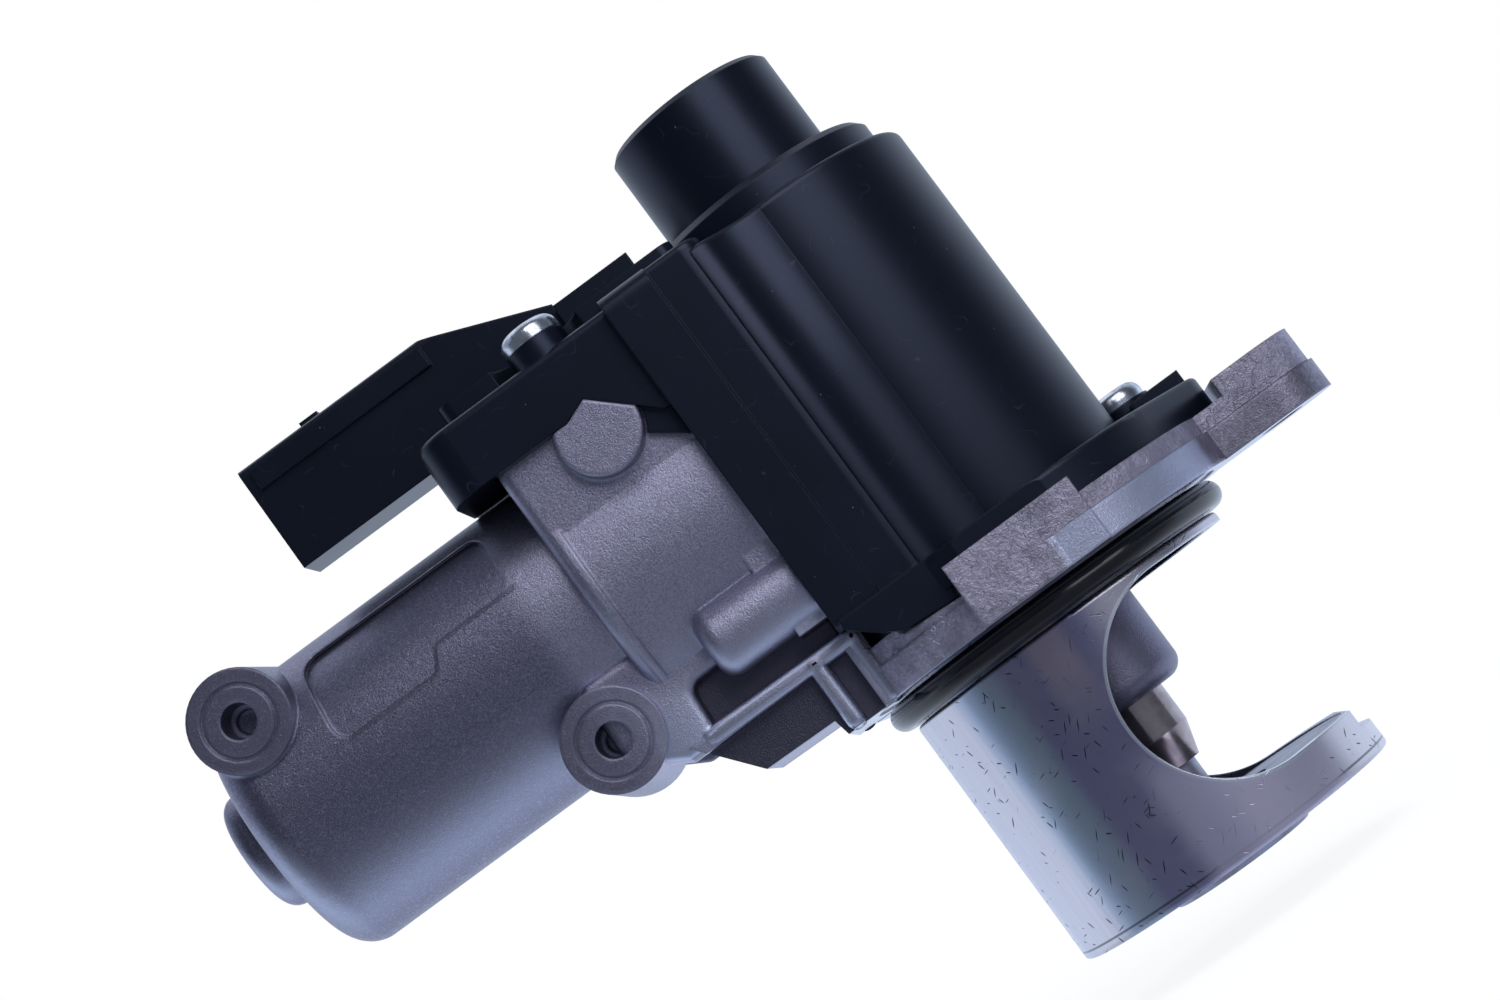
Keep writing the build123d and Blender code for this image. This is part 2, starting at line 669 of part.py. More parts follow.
# ---------------------------------------------------------------- spigot, seat, seal ring
with BuildPart() as spigot_tube:
    post(-SPIGOT_LENGTH, (0, 0), SPIGOT_R, SPIGOT_LENGTH - NECK_LENGTH)
    fillet(spigot_tube.edges(), radius=0.6)
    post(-NECK_LENGTH, (0, 0), NECK_R, NECK_LENGTH + NECK_PRESS_DEPTH)
    post(-SPIGOT_LENGTH, (0, 0), SPIGOT_BORE_R, SPIGOT_LENGTH + NECK_PRESS_DEPTH, Mode.SUBTRACT)
    with BuildSketch(Plane.XZ):
        with Locations((WINDOW_X, WINDOW_Z)):
            Circle(WINDOW_R)
        with Locations((WINDOW_X + 20, WINDOW_Z)):
            Rectangle(40, 2 * WINDOW_R)
    extrude(amount=40, both=True, mode=Mode.SUBTRACT)
    block((NOTCH_X, 30), (-NOTCH_HALF, NOTCH_HALF), (NOTCH_Z, WINDOW_Z), Mode.SUBTRACT)
finish(spigot_tube, "spigot_tube")

with BuildPart() as seat_ring:
    turned(
        [
            (SEAT_PORT_R, SEAT_RING_TOP_Z),
            (SPIGOT_BORE_R - PRESS_GAP, SEAT_RING_TOP_Z),
            (SPIGOT_BORE_R - PRESS_GAP, SEAT_RING_FOOT_Z),
            (SEAT_PORT_R + SEAT_CHAMFER, SEAT_RING_FOOT_Z),
            (SEAT_PORT_R, SEAT_RING_FOOT_Z + SEAT_CHAMFER),
        ],
        Axis.Z,
    )
finish(seat_ring, "seat_ring")

O_RING_MAJOR_R = NECK_R + PRESS_GAP + O_RING_CORD_R
with BuildPart() as o_ring:
    with Locations((0, 0, -NECK_LENGTH / 2)):
        Torus(O_RING_MAJOR_R, O_RING_CORD_R)
finish(o_ring, "o_ring")

with BuildPart() as guide_bush:
    turned(
        [
            (STEM_R + RUNNING_GAP, BUSH_TOP_Z),
            (BUSH_R, BUSH_TOP_Z),
            (BUSH_R, BUSH_SHOULDER_Z),
            (BUSH_TIP_R, BUSH_TIP_Z),
            (STEM_R + RUNNING_GAP, BUSH_TIP_Z),
        ],
        Axis.Z,
    )
finish(guide_bush, "guide_bush")

with BuildPart() as stem_seal:
    turned(
        [
            (STEM_R + PRESS_GAP, SEAL_FOOT_Z + 1.0),
            (STEM_R + 1.2, SEAL_FOOT_Z + 0.1),
            (SEAL_R, SEAL_FOOT_Z + 0.1),
            (SEAL_R, FLANGE_H - 0.2),
            (STEM_R + 1.6, FLANGE_H - 0.2),
            (STEM_R + 1.2, FLANGE_H - 2.6),
            (STEM_R + PRESS_GAP, FLANGE_H - 3.4),
        ],
        Axis.Z,
    )
finish(stem_seal, "stem_seal")

# ---------------------------------------------------------------- gear cover, moulded
with BuildPart() as frame_form:
    block((CHAMBER_X, FRAME_X), (-FRAME_HALF_W, FRAME_HALF_W), (BOX_FOOT_Z, FRAME_TOP_Z))
    fillet(frame_form.edges().filter_by(Axis.X).group_by(Axis.Z)[-1], radius=2.5)
    fillet(frame_form.edges().filter_by(Axis.X).group_by(Axis.Z)[0], radius=2)

with BuildPart() as box_form:
    with BuildSketch(Plane.XY.offset(BOX_FOOT_Z)) as box_plan:
        with Locations(((FRAME_X - 1 + BOX_X) / 2, 0)):
            Rectangle(BOX_X - FRAME_X + 1, 2 * BOX_HALF_W)
        Circle(DRUM_R)
        corners = box_plan.vertices().filter_by_position(Axis.X, BOX_X - 0.1, BOX_X + 0.1)
        fillet(corners.group_by(Axis.Y)[0] + corners.group_by(Axis.Y)[-1], radius=BOX_CORNER_R)
    extrude(amount=DRUM_TOP_Z - BOX_FOOT_Z)
    fillet(box_form.edges().group_by(Axis.Z)[-1], radius=DRUM_TOP_FILLET)

with BuildPart() as box_head_form:
    with BuildSketch(Plane.XY.offset(DRUM_TOP_Z - 2)) as head_plan:
        with Locations(((FRAME_X - 1 + BOX_X) / 2, 0)):
            Rectangle(BOX_X - FRAME_X + 1, 2 * BOX_HALF_W)
        fillet(head_plan.vertices().group_by(Axis.X)[-1], radius=BOX_CORNER_R)
    extrude(amount=BOX_TOP_Z - DRUM_TOP_Z + 2)
    fillet(box_head_form.edges().group_by(Axis.Z)[-1], radius=DRUM_TOP_FILLET)

with BuildPart() as rim_form:
    with BuildSketch(Plane.XY.offset(FLANGE_H + PRESS_GAP)):
        with BuildSketch(mode=Mode.PRIVATE) as rim_plan:
            Circle(RIM_R)
            with Locations(RIM_EAR):
                Circle(RIM_EAR_R)
            make_hull(rim_plan.edges())
        add(rim_plan.sketch)
        with Locations((CHAMBER_X - 20, 0)):
            Rectangle(40, 80, mode=Mode.SUBTRACT)
    extrude(amount=RIM_TOP_Z - FLANGE_H - PRESS_GAP)
    fillet(rim_form.edges().group_by(Axis.Z)[-1], radius=0.8)
    for spot in (RIM_SCREW, FAR_SCREW):
        post(FLANGE_H + PRESS_GAP, spot, RIM_BOSS_R, RIM_SEAT_Z - FLANGE_H - PRESS_GAP)

with BuildPart() as lid_form:
    block((LID_X, CHAMBER_X + 1), (-LID_HALF_W, LID_HALF_W), (LID_SKIRT_Z, LID_TOP_Z))
    fillet(lid_form.edges().filter_by(Axis.Z).group_by(Axis.X)[0], radius=LID_CORNER_R)
    fillet(lid_form.faces().sort_by(Axis.Z)[-1].edges().filter_by_position(Axis.X, -60, -27), radius=1.2)

with BuildPart() as skirt_foot_form:
    with BuildSketch(Plane.XZ.offset(LID_HALF_W)):
        skirt_outline(0)
    extrude(amount=-(LID_HALF_W - LID_INNER_HALF_W))
    with BuildSketch(Plane.XZ.offset(LID_INNER_HALF_W + WEB_T)):
        outline(WEB_OUTLINE)
        with Locations((PAD_X, PAD_Z)):
            Circle(PAD_R + FREE_GAP, mode=Mode.SUBTRACT)
    extrude(amount=-WEB_T)

with BuildPart() as bearing_boss_form:
    rod(OUTPUT_BUSH_X[0] - 0.1, (OUTPUT_Y, OUTPUT_Z), BUSHING_R + 2, 14)
    post(OUTPUT_Z - 10, (0, 0), DRUM_R - 1, 20, Mode.INTERSECT)

with BuildPart() as gear_cover:
    add(frame_form.part)
    add(box_form.part)
    add(box_head_form.part)
    add(rim_form.part)
    add(lid_form.part)
    add(skirt_foot_form.part)
    mirror(skirt_foot_form.part, about=Plane.XZ)
    with BuildSketch(Plane.XZ.offset(FRAME_HALF_W)):
        tongue_outline(0)
    extrude(amount=-TONGUE_T)
    block(RIM_TAB_X, RIM_TAB_Y, (RIM_TOP_Z - 0.5, RIM_TOP_Z + RIM_TAB_H))
    # hollow: gear chamber, drum, terminal space
    block(
        (COLLAR_BACK_X - 0.2, BOX_X - COVER_WALL),
        (-COVER_INNER_HALF_W, COVER_INNER_HALF_W),
        (COLLAR_FOOT_Z - 0.2, COLLAR_TOP_Z + FREE_GAP),
        Mode.SUBTRACT,
    )
    block((COLLAR_BACK_X - 0.2, BOX_X - COVER_WALL), (-17, 17), (0, 20), Mode.SUBTRACT)
    post(0, (0, 0), DRUM_R - COVER_WALL, DRUM_TOP_Z - COVER_WALL, Mode.SUBTRACT)
    block(
        (LID_INNER_X, COLLAR_BACK_X),
        (-LID_INNER_HALF_W, LID_INNER_HALF_W),
        (LID_SKIRT_Z - 1, LID_TOP_Z - LID_WALL),
        Mode.SUBTRACT,
    )
    # bearing boss inside the drum, and the lid's screw bosses
    add(bearing_boss_form.part)
    rod(
        OUTPUT_BUSH_X[0] - 1,
        (OUTPUT_Y, OUTPUT_Z),
        BUSHING_R + PRESS_GAP,
        OUTPUT_BUSH_T + 1.1,
        Mode.SUBTRACT,
    )
    # the skirt's foot rises over the pads
    with BuildSketch(Plane.XZ.offset(LID_HALF_W + 1)):
        outline(SKIRT_RISE)
    extrude(amount=-2 * LID_HALF_W - 2, mode=Mode.SUBTRACT)
    # raised panel and saddle
    with BuildSketch(Plane.XY.offset(LID_TOP_Z - 1)) as panel_plan:
        with Locations(((PANEL_X[0] + PANEL_X[1]) / 2, 0)):
            RectangleRounded(PANEL_X[1] - PANEL_X[0], 2 * PANEL_HALF_W, 2)
        with Locations((LID_SCREW_X, -LID_SCREW_Y), (LID_SCREW_X, LID_SCREW_Y)):
            Circle(COVER_SCREW_HEAD_R + PANEL_CUT_GAP, mode=Mode.SUBTRACT)
    extrude(amount=PANEL_TOP_Z - LID_TOP_Z + 1)
    block(SADDLE_X, (-SADDLE_HALF_W, SADDLE_HALF_W), (PANEL_TOP_Z - 1, SADDLE_TOP_Z))
    for y in (-LID_SCREW_Y, LID_SCREW_Y):
        with BuildPart(mode=Mode.PRIVATE) as lid_boss:
            post(MIDDLE_TOP_Z + 0.1, (LID_SCREW_X, y), COVER_SCREW_HEAD_R, LID_SEAT_Z - MIDDLE_TOP_Z - 0.1)
            block((-60, 0), (-LID_HALF_W, LID_HALF_W), (0, 90), Mode.INTERSECT)
        add(lid_boss.part)
        post(MIDDLE_TOP_Z - 1, (LID_SCREW_X, y), COVER_SCREW_R + LOCATING_GAP, 20, Mode.SUBTRACT)
    # clearances: barrel, neck, flange, block, screws, sensor cap
    rod(LID_X - 1, (0, MOTOR_Z), BARREL_R + FREE_GAP, 10, Mode.SUBTRACT)
    block((COLLAR_BACK_X - 1, NECK_END_FACE_X + 0.2), (-19.3, 19.3), (0, GUSSET_TOP_Z + 0.2), Mode.SUBTRACT)
    block((-BLOCK_HALF_W - 0.3, BLOCK_HALF_W + 0.3), (-40, BLOCK_BACK_Y + 0.3), (0, 14), Mode.SUBTRACT)
    for spot in (RIM_SCREW, FAR_SCREW):
        post(0, spot, COVER_SCREW_R + LOCATING_GAP, 20, Mode.SUBTRACT)
    post(DRUM_TOP_Z - 5, (0, 0), CAP_SPIGOT_R + LOCATING_GAP, 10, Mode.SUBTRACT)
    post(DRUM_TOP_Z, (0, 0), CAP_DISC_R + LOCATING_GAP, 20, Mode.SUBTRACT)
    # groove for the seal
    with BuildSketch(Plane.XY.offset(FLANGE_H)):
        Circle(COVER_SEAL_R[1] + 0.1)
        Circle(COVER_SEAL_R[0] - 0.1, mode=Mode.SUBTRACT)
    extrude(amount=COVER_SEAL_T + 0.1, mode=Mode.SUBTRACT)
finish(gear_cover, "gear_cover")

with BuildPart() as cover_seal:
    with BuildSketch(Plane.XY.offset(FLANGE_H + PRESS_GAP)):
        Circle(COVER_SEAL_R[1])
        Circle(COVER_SEAL_R[0], mode=Mode.SUBTRACT)
        with Locations((-30, 0)):
            Rectangle(2 * (30 + BOX_X - COVER_WALL), 34.2, mode=Mode.SUBTRACT)
        with Locations((NECK_END_FACE_X - 19, 0)):
            Rectangle(40, 60, mode=Mode.SUBTRACT)
    extrude(amount=COVER_SEAL_T - PRESS_GAP)
finish(cover_seal, "cover_seal")

# ---------------------------------------------------------------- sensor cap
with BuildPart() as sensor_cap:
    turned(
        [
            (CARRIER_R + FREE_GAP, CAP_WEB_Z[0]),
            (CAP_BORE_R, CAP_WEB_Z[0]),
            (CAP_BORE_R, CAP_SPIGOT_Z),
            (CAP_SPIGOT_R, CAP_SPIGOT_Z),
            (CAP_SPIGOT_R, DRUM_TOP_Z + PRESS_GAP),
            (CAP_DISC_R, DRUM_TOP_Z + PRESS_GAP),
            (CAP_DISC_R, CAP_DISC_TOP_Z - 1.0),
            (CAP_DISC_R - 1.0, CAP_DISC_TOP_Z),
            (CAP_R, CAP_DISC_TOP_Z),
            (CAP_R, CAP_TOP_Z - 0.8),
            (CAP_R - 0.8, CAP_TOP_Z),
            (0, CAP_TOP_Z),
            (0, CAP_TOP_Z - COVER_WALL),
            (CAP_BORE_R, CAP_TOP_Z - COVER_WALL),
            (CAP_BORE_R, CAP_WEB_Z[1]),
            (CARRIER_R + FREE_GAP, CAP_WEB_Z[1]),
        ],
        Axis.Z,
    )
finish(sensor_cap, "sensor_cap")

with BuildPart() as sensor_board:
    block(BOARD_X, (-8, 8), (CAP_WEB_Z[1] + 0.1, CAP_TOP_Z - COVER_WALL - 0.3))
    block((BOARD_X[0] - 1.2, BOARD_X[0]), (-2.5, 2.5), (68, 72))
finish(sensor_board, "sensor_board")

# ---------------------------------------------------------------- connector
TERMINAL_Z = [(SOCKET_Z[0] + SOCKET_Z[1]) / 2 + (i - 2) * TERMINAL_PITCH for i in range(TERMINAL_COUNT)]
with BuildPart() as connector_housing:
    with BuildSketch(Plane.XZ):
        outline(
            [
                (SOCKET_X[0], SOCKET_Z[0]),
                (SOCKET_X[0], SOCKET_Z[1]),
                (SOCKET_X[1], SOCKET_Z[1]),
                (NECK_END_X, NECK_END_Z),
                (NECK_END_X, PANEL_TOP_Z + PRESS_GAP),
                (PANEL_X[0] - PRESS_GAP, PANEL_TOP_Z + PRESS_GAP),
                (PANEL_X[0] - PRESS_GAP, LID_TOP_Z + PRESS_GAP),
                (LID_X - PRESS_GAP, LID_TOP_Z + PRESS_GAP),
                (LID_X - PRESS_GAP, SOCKET_Z[0]),
            ]
        )
    extrude(amount=SOCKET_HALF_W, both=True)
    fillet(connector_housing.edges().filter_by(Axis.X).group_by(Axis.Z)[-1], radius=1.2)
    # coding ribs along the two sides, and a latch nib on top
    for side in (-1, 1):
        block((SOCKET_X[0] + 1.5, SOCKET_X[1]), sorted((side * 5, side * 5.9)), (75.2, 78.2))
    block(NIB_X, (-NIB_HALF_W, NIB_HALF_W), (SOCKET_Z[1] - 0.5, SOCKET_Z[1] + NIB_H))
    block(
        (SOCKET_X[0] - 1, SOCKET_X[0] + SOCKET_DEPTH),
        (-SOCKET_HALF_W + SOCKET_WALL, SOCKET_HALF_W - SOCKET_WALL),
        (SOCKET_Z[0] + SOCKET_WALL, SOCKET_Z[1] - SOCKET_WALL),
        Mode.SUBTRACT,
    )
    for z in TERMINAL_Z:
        block((SOCKET_X[0], TERMINAL_END_X), (-0.45, 0.45), (z - 0.45, z + 0.45), Mode.SUBTRACT)
finish(connector_housing, "connector_housing")

with BuildPart() as connector_terminals:
    for z in TERMINAL_Z:
        block((SOCKET_X[0] + 5, TERMINAL_END_X - 0.1), (-0.4, 0.4), (z - 0.4, z + 0.4))
finish(connector_terminals, "connector_terminals")

# ---------------------------------------------------------------- gear plate, pins and bushes
PLATE_SCREWS = [
    (y, z)
    for y in (-PLATE_SCREW_Y, PLATE_SCREW_Y)
    for z in (MOTOR_Z - PLATE_SCREW_Z, MOTOR_Z + PLATE_SCREW_Z)
]
MOTOR_SCREWS = [
    (
        MOTOR_SCREW_RADIUS * cos(radians(MOTOR_SCREW_ANGLE + turn)),
        MOTOR_Z + MOTOR_SCREW_RADIUS * sin(radians(MOTOR_SCREW_ANGLE + turn)),
    )
    for turn in (0, 180)
]


def countersink(x, centre, gap):
    """The cone of a small countersunk screw whose head is flush with x, with the given gap."""
    with BuildPart(mode=Mode.PRIVATE) as cone:
        with Locations((x - SMALL_HEAD_H / 2, centre[0], centre[1])):
            Cone(
                SMALL_SCREW_R + gap,
                SMALL_HEAD_R + gap,
                SMALL_HEAD_H,
                rotation=(0, 90, 0),
            )
    return cone.part


with BuildPart() as gear_plate:
    with BuildSketch(Plane.YZ.offset(PLATE_X + PRESS_GAP)):
        with Locations((0, MOTOR_Z)):
            RectangleRounded(
                2 * (PLATE_HALF_W - LOCATING_GAP), 2 * (PLATE_HALF_H - LOCATING_GAP), PLATE_CORNER_R
            )
    extrude(amount=GEAR_PLATE_T - PRESS_GAP)
    rod(PLATE_X - 1, (0, MOTOR_Z), MOTOR_BEARING_R + PRESS_GAP, 10, Mode.SUBTRACT)
    rod(PLATE_X - 1, (IDLER_Y, IDLER_Z), IDLER_PIN_R + PRESS_GAP, 10, Mode.SUBTRACT)
    rod(PLATE_X - 1, (OUTPUT_Y, OUTPUT_Z), BUSHING_R + PRESS_GAP, 10, Mode.SUBTRACT)
    for spot in PLATE_SCREWS + MOTOR_SCREWS:
        rod(PLATE_X - 1, spot, SMALL_SCREW_R + LOCATING_GAP, 10, Mode.SUBTRACT)
        add(countersink(COLLAR_X + 0.01, spot, 0.1), mode=Mode.SUBTRACT)
finish(gear_plate, "gear_plate")

with BuildPart() as gear_plate_screws:
    for spot in PLATE_SCREWS:
        rod(COLLAR_X - SMALL_SCREW_L, spot, SMALL_SCREW_R, SMALL_SCREW_L)
        add(countersink(COLLAR_X, spot, 0))
        rod(COLLAR_X - 0.8, spot, 1.1, 2, Mode.SUBTRACT)
finish(gear_plate_screws, "gear_plate_screws")

with BuildPart() as motor_screws:
    for spot in MOTOR_SCREWS:
        rod(COLLAR_X - MOTOR_SCREW_L, spot, SMALL_SCREW_R, MOTOR_SCREW_L)
        add(countersink(COLLAR_X, spot, 0))
        rod(COLLAR_X - 0.8, spot, 1.1, 2, Mode.SUBTRACT)
finish(motor_screws, "motor_screws")

with BuildPart() as idler_pin:
    rod(PLATE_X + PRESS_GAP, (IDLER_Y, IDLER_Z), IDLER_PIN_R, IDLER_PIN_END - PLATE_X - PRESS_GAP)
finish(idler_pin, "idler_pin")

with BuildPart() as output_bushes:
    rod(PLATE_X + PRESS_GAP, (OUTPUT_Y, OUTPUT_Z), BUSHING_R, GEAR_PLATE_T - PRESS_GAP)
    rod(OUTPUT_BUSH_X[0], (OUTPUT_Y, OUTPUT_Z), BUSHING_R, OUTPUT_BUSH_T)
    rod(PLATE_X - 1, (OUTPUT_Y, OUTPUT_Z), OUTPUT_SHAFT_R + RUNNING_GAP, 60, Mode.SUBTRACT)
finish(output_bushes, "output_bushes")

# ---------------------------------------------------------------- motor, fixed pieces
with BuildPart() as motor_can:
    rod(CAN_X[0], (0, MOTOR_Z), CAN_R, CAN_X[1] - CAN_X[0])
    rod(CAN_X[0] + CAN_T, (0, MOTOR_Z), CAN_R - CAN_T, 100, Mode.SUBTRACT)
    rod(CAN_X[0] - 1, (0, MOTOR_Z), SHAFT_R + 1.4, 10, Mode.SUBTRACT)
    block((-40, -34), (-5, 5), (MOTOR_Z + 8, MOTOR_Z + 20), Mode.SUBTRACT)
finish(motor_can, "motor_can")

with BuildPart() as motor_magnets:
    with BuildSketch(Plane.YZ.offset(MAGNET_X[0])):
        with Locations((0, MOTOR_Z)):
            Circle(CAN_R - CAN_T - PRESS_GAP)
            Circle(CAN_R - CAN_T - PRESS_GAP - MAGNET_T, mode=Mode.SUBTRACT)
            with BuildSketch(mode=Mode.PRIVATE) as poles:
                for side in (-1, 1):
                    reach = 20 * tan(radians(MAGNET_HALF_ANGLE))
                    outline([(0, 0), (side * 20, reach), (side * 20, -reach)])
            add(poles.sketch, mode=Mode.INTERSECT)
    extrude(amount=MAGNET_X[1] - MAGNET_X[0])
finish(motor_magnets, "motor_magnets")

with BuildPart() as motor_front:
    rod(CAN_X[1] - 2, (0, MOTOR_Z), CAN_R - CAN_T - PRESS_GAP, PLATE_X - CAN_X[1] + 2 - PRESS_GAP)
    rod(CAN_X[1] - 3, (0, MOTOR_Z), SHAFT_R + 1.4, 10, Mode.SUBTRACT)
    for spot in MOTOR_SCREWS:
        rod(CAN_X[1] - 3, spot, SMALL_SCREW_R + PRESS_GAP, 10, Mode.SUBTRACT)
finish(motor_front, "motor_front_plate")

with BuildPart() as motor_bearings:
    for ends in (REAR_BEARING_X, FRONT_BEARING_X):
        rod(ends[0], (0, MOTOR_Z), MOTOR_BEARING_R, ends[1] - ends[0])
    rod(REAR_BEARING_X[0] - 1, (0, MOTOR_Z), SHAFT_R + RUNNING_GAP, 100, Mode.SUBTRACT)
finish(motor_bearings, "motor_bearings")

with BuildPart() as brush_holder:
    rod(HOLDER_X[0], (0, MOTOR_Z), CAN_R - CAN_T - PRESS_GAP, HOLDER_X[1] - HOLDER_X[0])
    for side in (-1, 1):
        block(
            (BRUSH_X[0] - 1.2, HOLDER_X[0] + 0.5),
            sorted((side * 5.8, side * 12)),
            (MOTOR_Z - BRUSH_HALF_W - 1.2, MOTOR_Z + BRUSH_HALF_W + 1.2),
        )
    rod(HOLDER_X[0] - 1, (0, MOTOR_Z), COMMUTATOR_R + 0.8, 10, Mode.SUBTRACT)
    block(
        (BRUSH_X[0] - 0.1, BRUSH_X[1] + 0.1),
        (-20, 20),
        (MOTOR_Z - BRUSH_HALF_W - 0.1, MOTOR_Z + BRUSH_HALF_W + 0.1),
        Mode.SUBTRACT,
    )
finish(brush_holder, "brush_holder")

with BuildPart() as brushes:
    for side in (-1, 1):
        block(
            BRUSH_X,
            sorted((side * (COMMUTATOR_R - 0.6), side * 10)),
            (MOTOR_Z - BRUSH_HALF_W, MOTOR_Z + BRUSH_HALF_W),
        )
    rod(BRUSH_X[0] - 1, (0, MOTOR_Z), COMMUTATOR_R + RUNNING_GAP, 20, Mode.SUBTRACT)
finish(brushes, "brushes")

with BuildPart() as motor_terminals:
    for side in (-1, 1):
        block(
            (HOLDER_X[0] - 0.9, HOLDER_X[0] - PRESS_GAP),
            sorted((side * 1.2, side * 4.2)),
            (MOTOR_Z + 9, LID_TOP_Z - LID_WALL - 1),
        )
finish(motor_terminals, "motor_terminals")

# ---------------------------------------------------------------- motor, turning pieces
with BuildPart() as motor_shaft:
    rod(REAR_BEARING_X[0] + 0.3, (0, MOTOR_Z), SHAFT_R, WHEEL_X[1] - REAR_BEARING_X[0] - 0.4)
finish(motor_shaft, "motor_shaft")

with BuildPart() as armature_core:
    with BuildSketch(Plane.YZ.offset(CORE_X[0])):
        with Locations((0, MOTOR_Z)):
            Circle(CORE_R)
            Circle(SHAFT_R + PRESS_GAP, mode=Mode.SUBTRACT)
            with PolarLocations(SLOT_RADIUS, CORE_SLOTS):
                RectangleRounded(SLOT_DEPTH, SLOT_W, 0.8, mode=Mode.SUBTRACT)
            with PolarLocations(CORE_R, CORE_SLOTS):
                Rectangle(4, SLOT_MOUTH_W, mode=Mode.SUBTRACT)
    extrude(amount=CORE_X[1] - CORE_X[0])
finish(armature_core, "armature_core")

with BuildPart() as armature_windings:
    with BuildSketch(Plane.YZ.offset(CORE_X[0] - WINDING_END)):
        with Locations((0, MOTOR_Z)):
            with PolarLocations(SLOT_RADIUS, CORE_SLOTS):
                RectangleRounded(SLOT_DEPTH - 0.3, SLOT_W - 0.3, 0.7)
    extrude(amount=CORE_X[1] - CORE_X[0] + 2 * WINDING_END)
    for x in (CORE_X[0] - WINDING_END, CORE_X[1] + PRESS_GAP):
        with BuildSketch(Plane.YZ.offset(x)):
            with Locations((0, MOTOR_Z)):
                Circle(SLOT_RADIUS + SLOT_DEPTH / 2)
                Circle(SHAFT_R + 0.6, mode=Mode.SUBTRACT)
        extrude(amount=WINDING_END - PRESS_GAP)
finish(armature_windings, "armature_windings")

with BuildPart() as commutator:
    with BuildSketch(Plane.YZ.offset(COMMUTATOR_X[0])):
        with Locations((0, MOTOR_Z)):
            Circle(COMMUTATOR_R)
            Circle(SHAFT_R + PRESS_GAP, mode=Mode.SUBTRACT)
            with PolarLocations(COMMUTATOR_R, CORE_SLOTS):
                Rectangle(1.2, 0.4, mode=Mode.SUBTRACT)
    extrude(amount=COMMUTATOR_X[1] - COMMUTATOR_X[0])
finish(commutator, "commutator")

with BuildPart() as motor_pinion:
    gear(WHEEL_X, (0, MOTOR_Z), MOTOR_TEETH, radians(MOTOR_TO_IDLER))
    rod(WHEEL_X[0] - 1, (0, MOTOR_Z), SHAFT_R + PRESS_GAP, 10, Mode.SUBTRACT)
finish(motor_pinion, "motor_pinion")

# ---------------------------------------------------------------- idler, output shaft, sector
with BuildPart() as idler_gear:
    idler_axis = (IDLER_Y, IDLER_Z)
    gear(WHEEL_X, idler_axis, IDLER_TEETH, radians(MOTOR_TO_IDLER + 180 + 180 / IDLER_TEETH))
    gear(SECTOR_X, idler_axis, IDLER_PINION_TEETH, radians(IDLER_TO_SECTOR))
    rod(WHEEL_X[1] - 1, idler_axis, MODULE * IDLER_PINION_TEETH / 2 - DEDENDUM, SECTOR_X[0] - WHEEL_X[1] + 2)
    rod(WHEEL_X[0] - 1, idler_axis, IDLER_PIN_R + RUNNING_GAP, 20, Mode.SUBTRACT)
finish(idler_gear, "idler_gear")

with BuildPart() as sector_gear:
    with BuildSketch(Plane.YZ.offset(SECTOR_X[0])):
        with BuildSketch(mode=Mode.PRIVATE) as toothed:
            gear_outline(SECTOR_TEETH, radians(IDLER_TO_SECTOR + 180 + 180 / SECTOR_TEETH))
            with BuildSketch(mode=Mode.PRIVATE) as slice_of_wheel:
                far = 40
                low = radians(SECTOR_START)
                middle = radians(SECTOR_START + 45)
                high = radians(SECTOR_START + 90)
                outline([(0, 0), polar(far, low), polar(far, middle), polar(far, high)])
            add(slice_of_wheel.sketch, mode=Mode.INTERSECT)
            Circle(SECTOR_HUB_R)
            Circle(OUTPUT_SHAFT_R + PRESS_GAP, mode=Mode.SUBTRACT)
        with Locations((OUTPUT_Y, OUTPUT_Z)):
            add(toothed.sketch)
    extrude(amount=SECTOR_X[1] - SECTOR_X[0])
finish(sector_gear, "sector_gear")

with BuildPart() as output_shaft:
    rod(PLATE_X + 0.15, (OUTPUT_Y, OUTPUT_Z), OUTPUT_SHAFT_R, OUTPUT_SHAFT_END - PLATE_X - 0.15)
    gear(RACK_PINION_X, (OUTPUT_Y, OUTPUT_Z), RACK_PINION_TEETH, pi)
finish(output_shaft, "output_shaft")

# ---------------------------------------------------------------- poppet, rack, retainer, magnet
HEAD_CONE_R = SEAT_PORT_R + SEAT_CHAMFER - SEAT_GAP
with BuildPart() as poppet_valve:
    turned(
        [
            (0, HEAD_FOOT_Z),
            (HEAD_R - HEAD_EDGE, HEAD_FOOT_Z),
            (HEAD_R, HEAD_FOOT_Z + HEAD_EDGE),
            (HEAD_R, SEAT_RING_FOOT_Z - SEAT_GAP - 0.5),
            (HEAD_CONE_R, SEAT_RING_FOOT_Z - SEAT_GAP),
            (HEAD_CONE_R - SEAT_CHAMFER - 0.6, SEAT_RING_FOOT_Z - SEAT_GAP + SEAT_CHAMFER + 0.6),
            (STEM_R + 1.6, SEAT_RING_FOOT_Z + 3.6),
            (STEM_R, SEAT_RING_FOOT_Z + 7.0),
            (STEM_R, RACK_FOOT_Z - 0.1),
            (SHANK_R, RACK_FOOT_Z - 0.1),
            (SHANK_R, SHANK_TOP_Z),
            (0, SHANK_TOP_Z),
        ],
        Axis.Z,
    )
finish(poppet_valve, "poppet_valve")

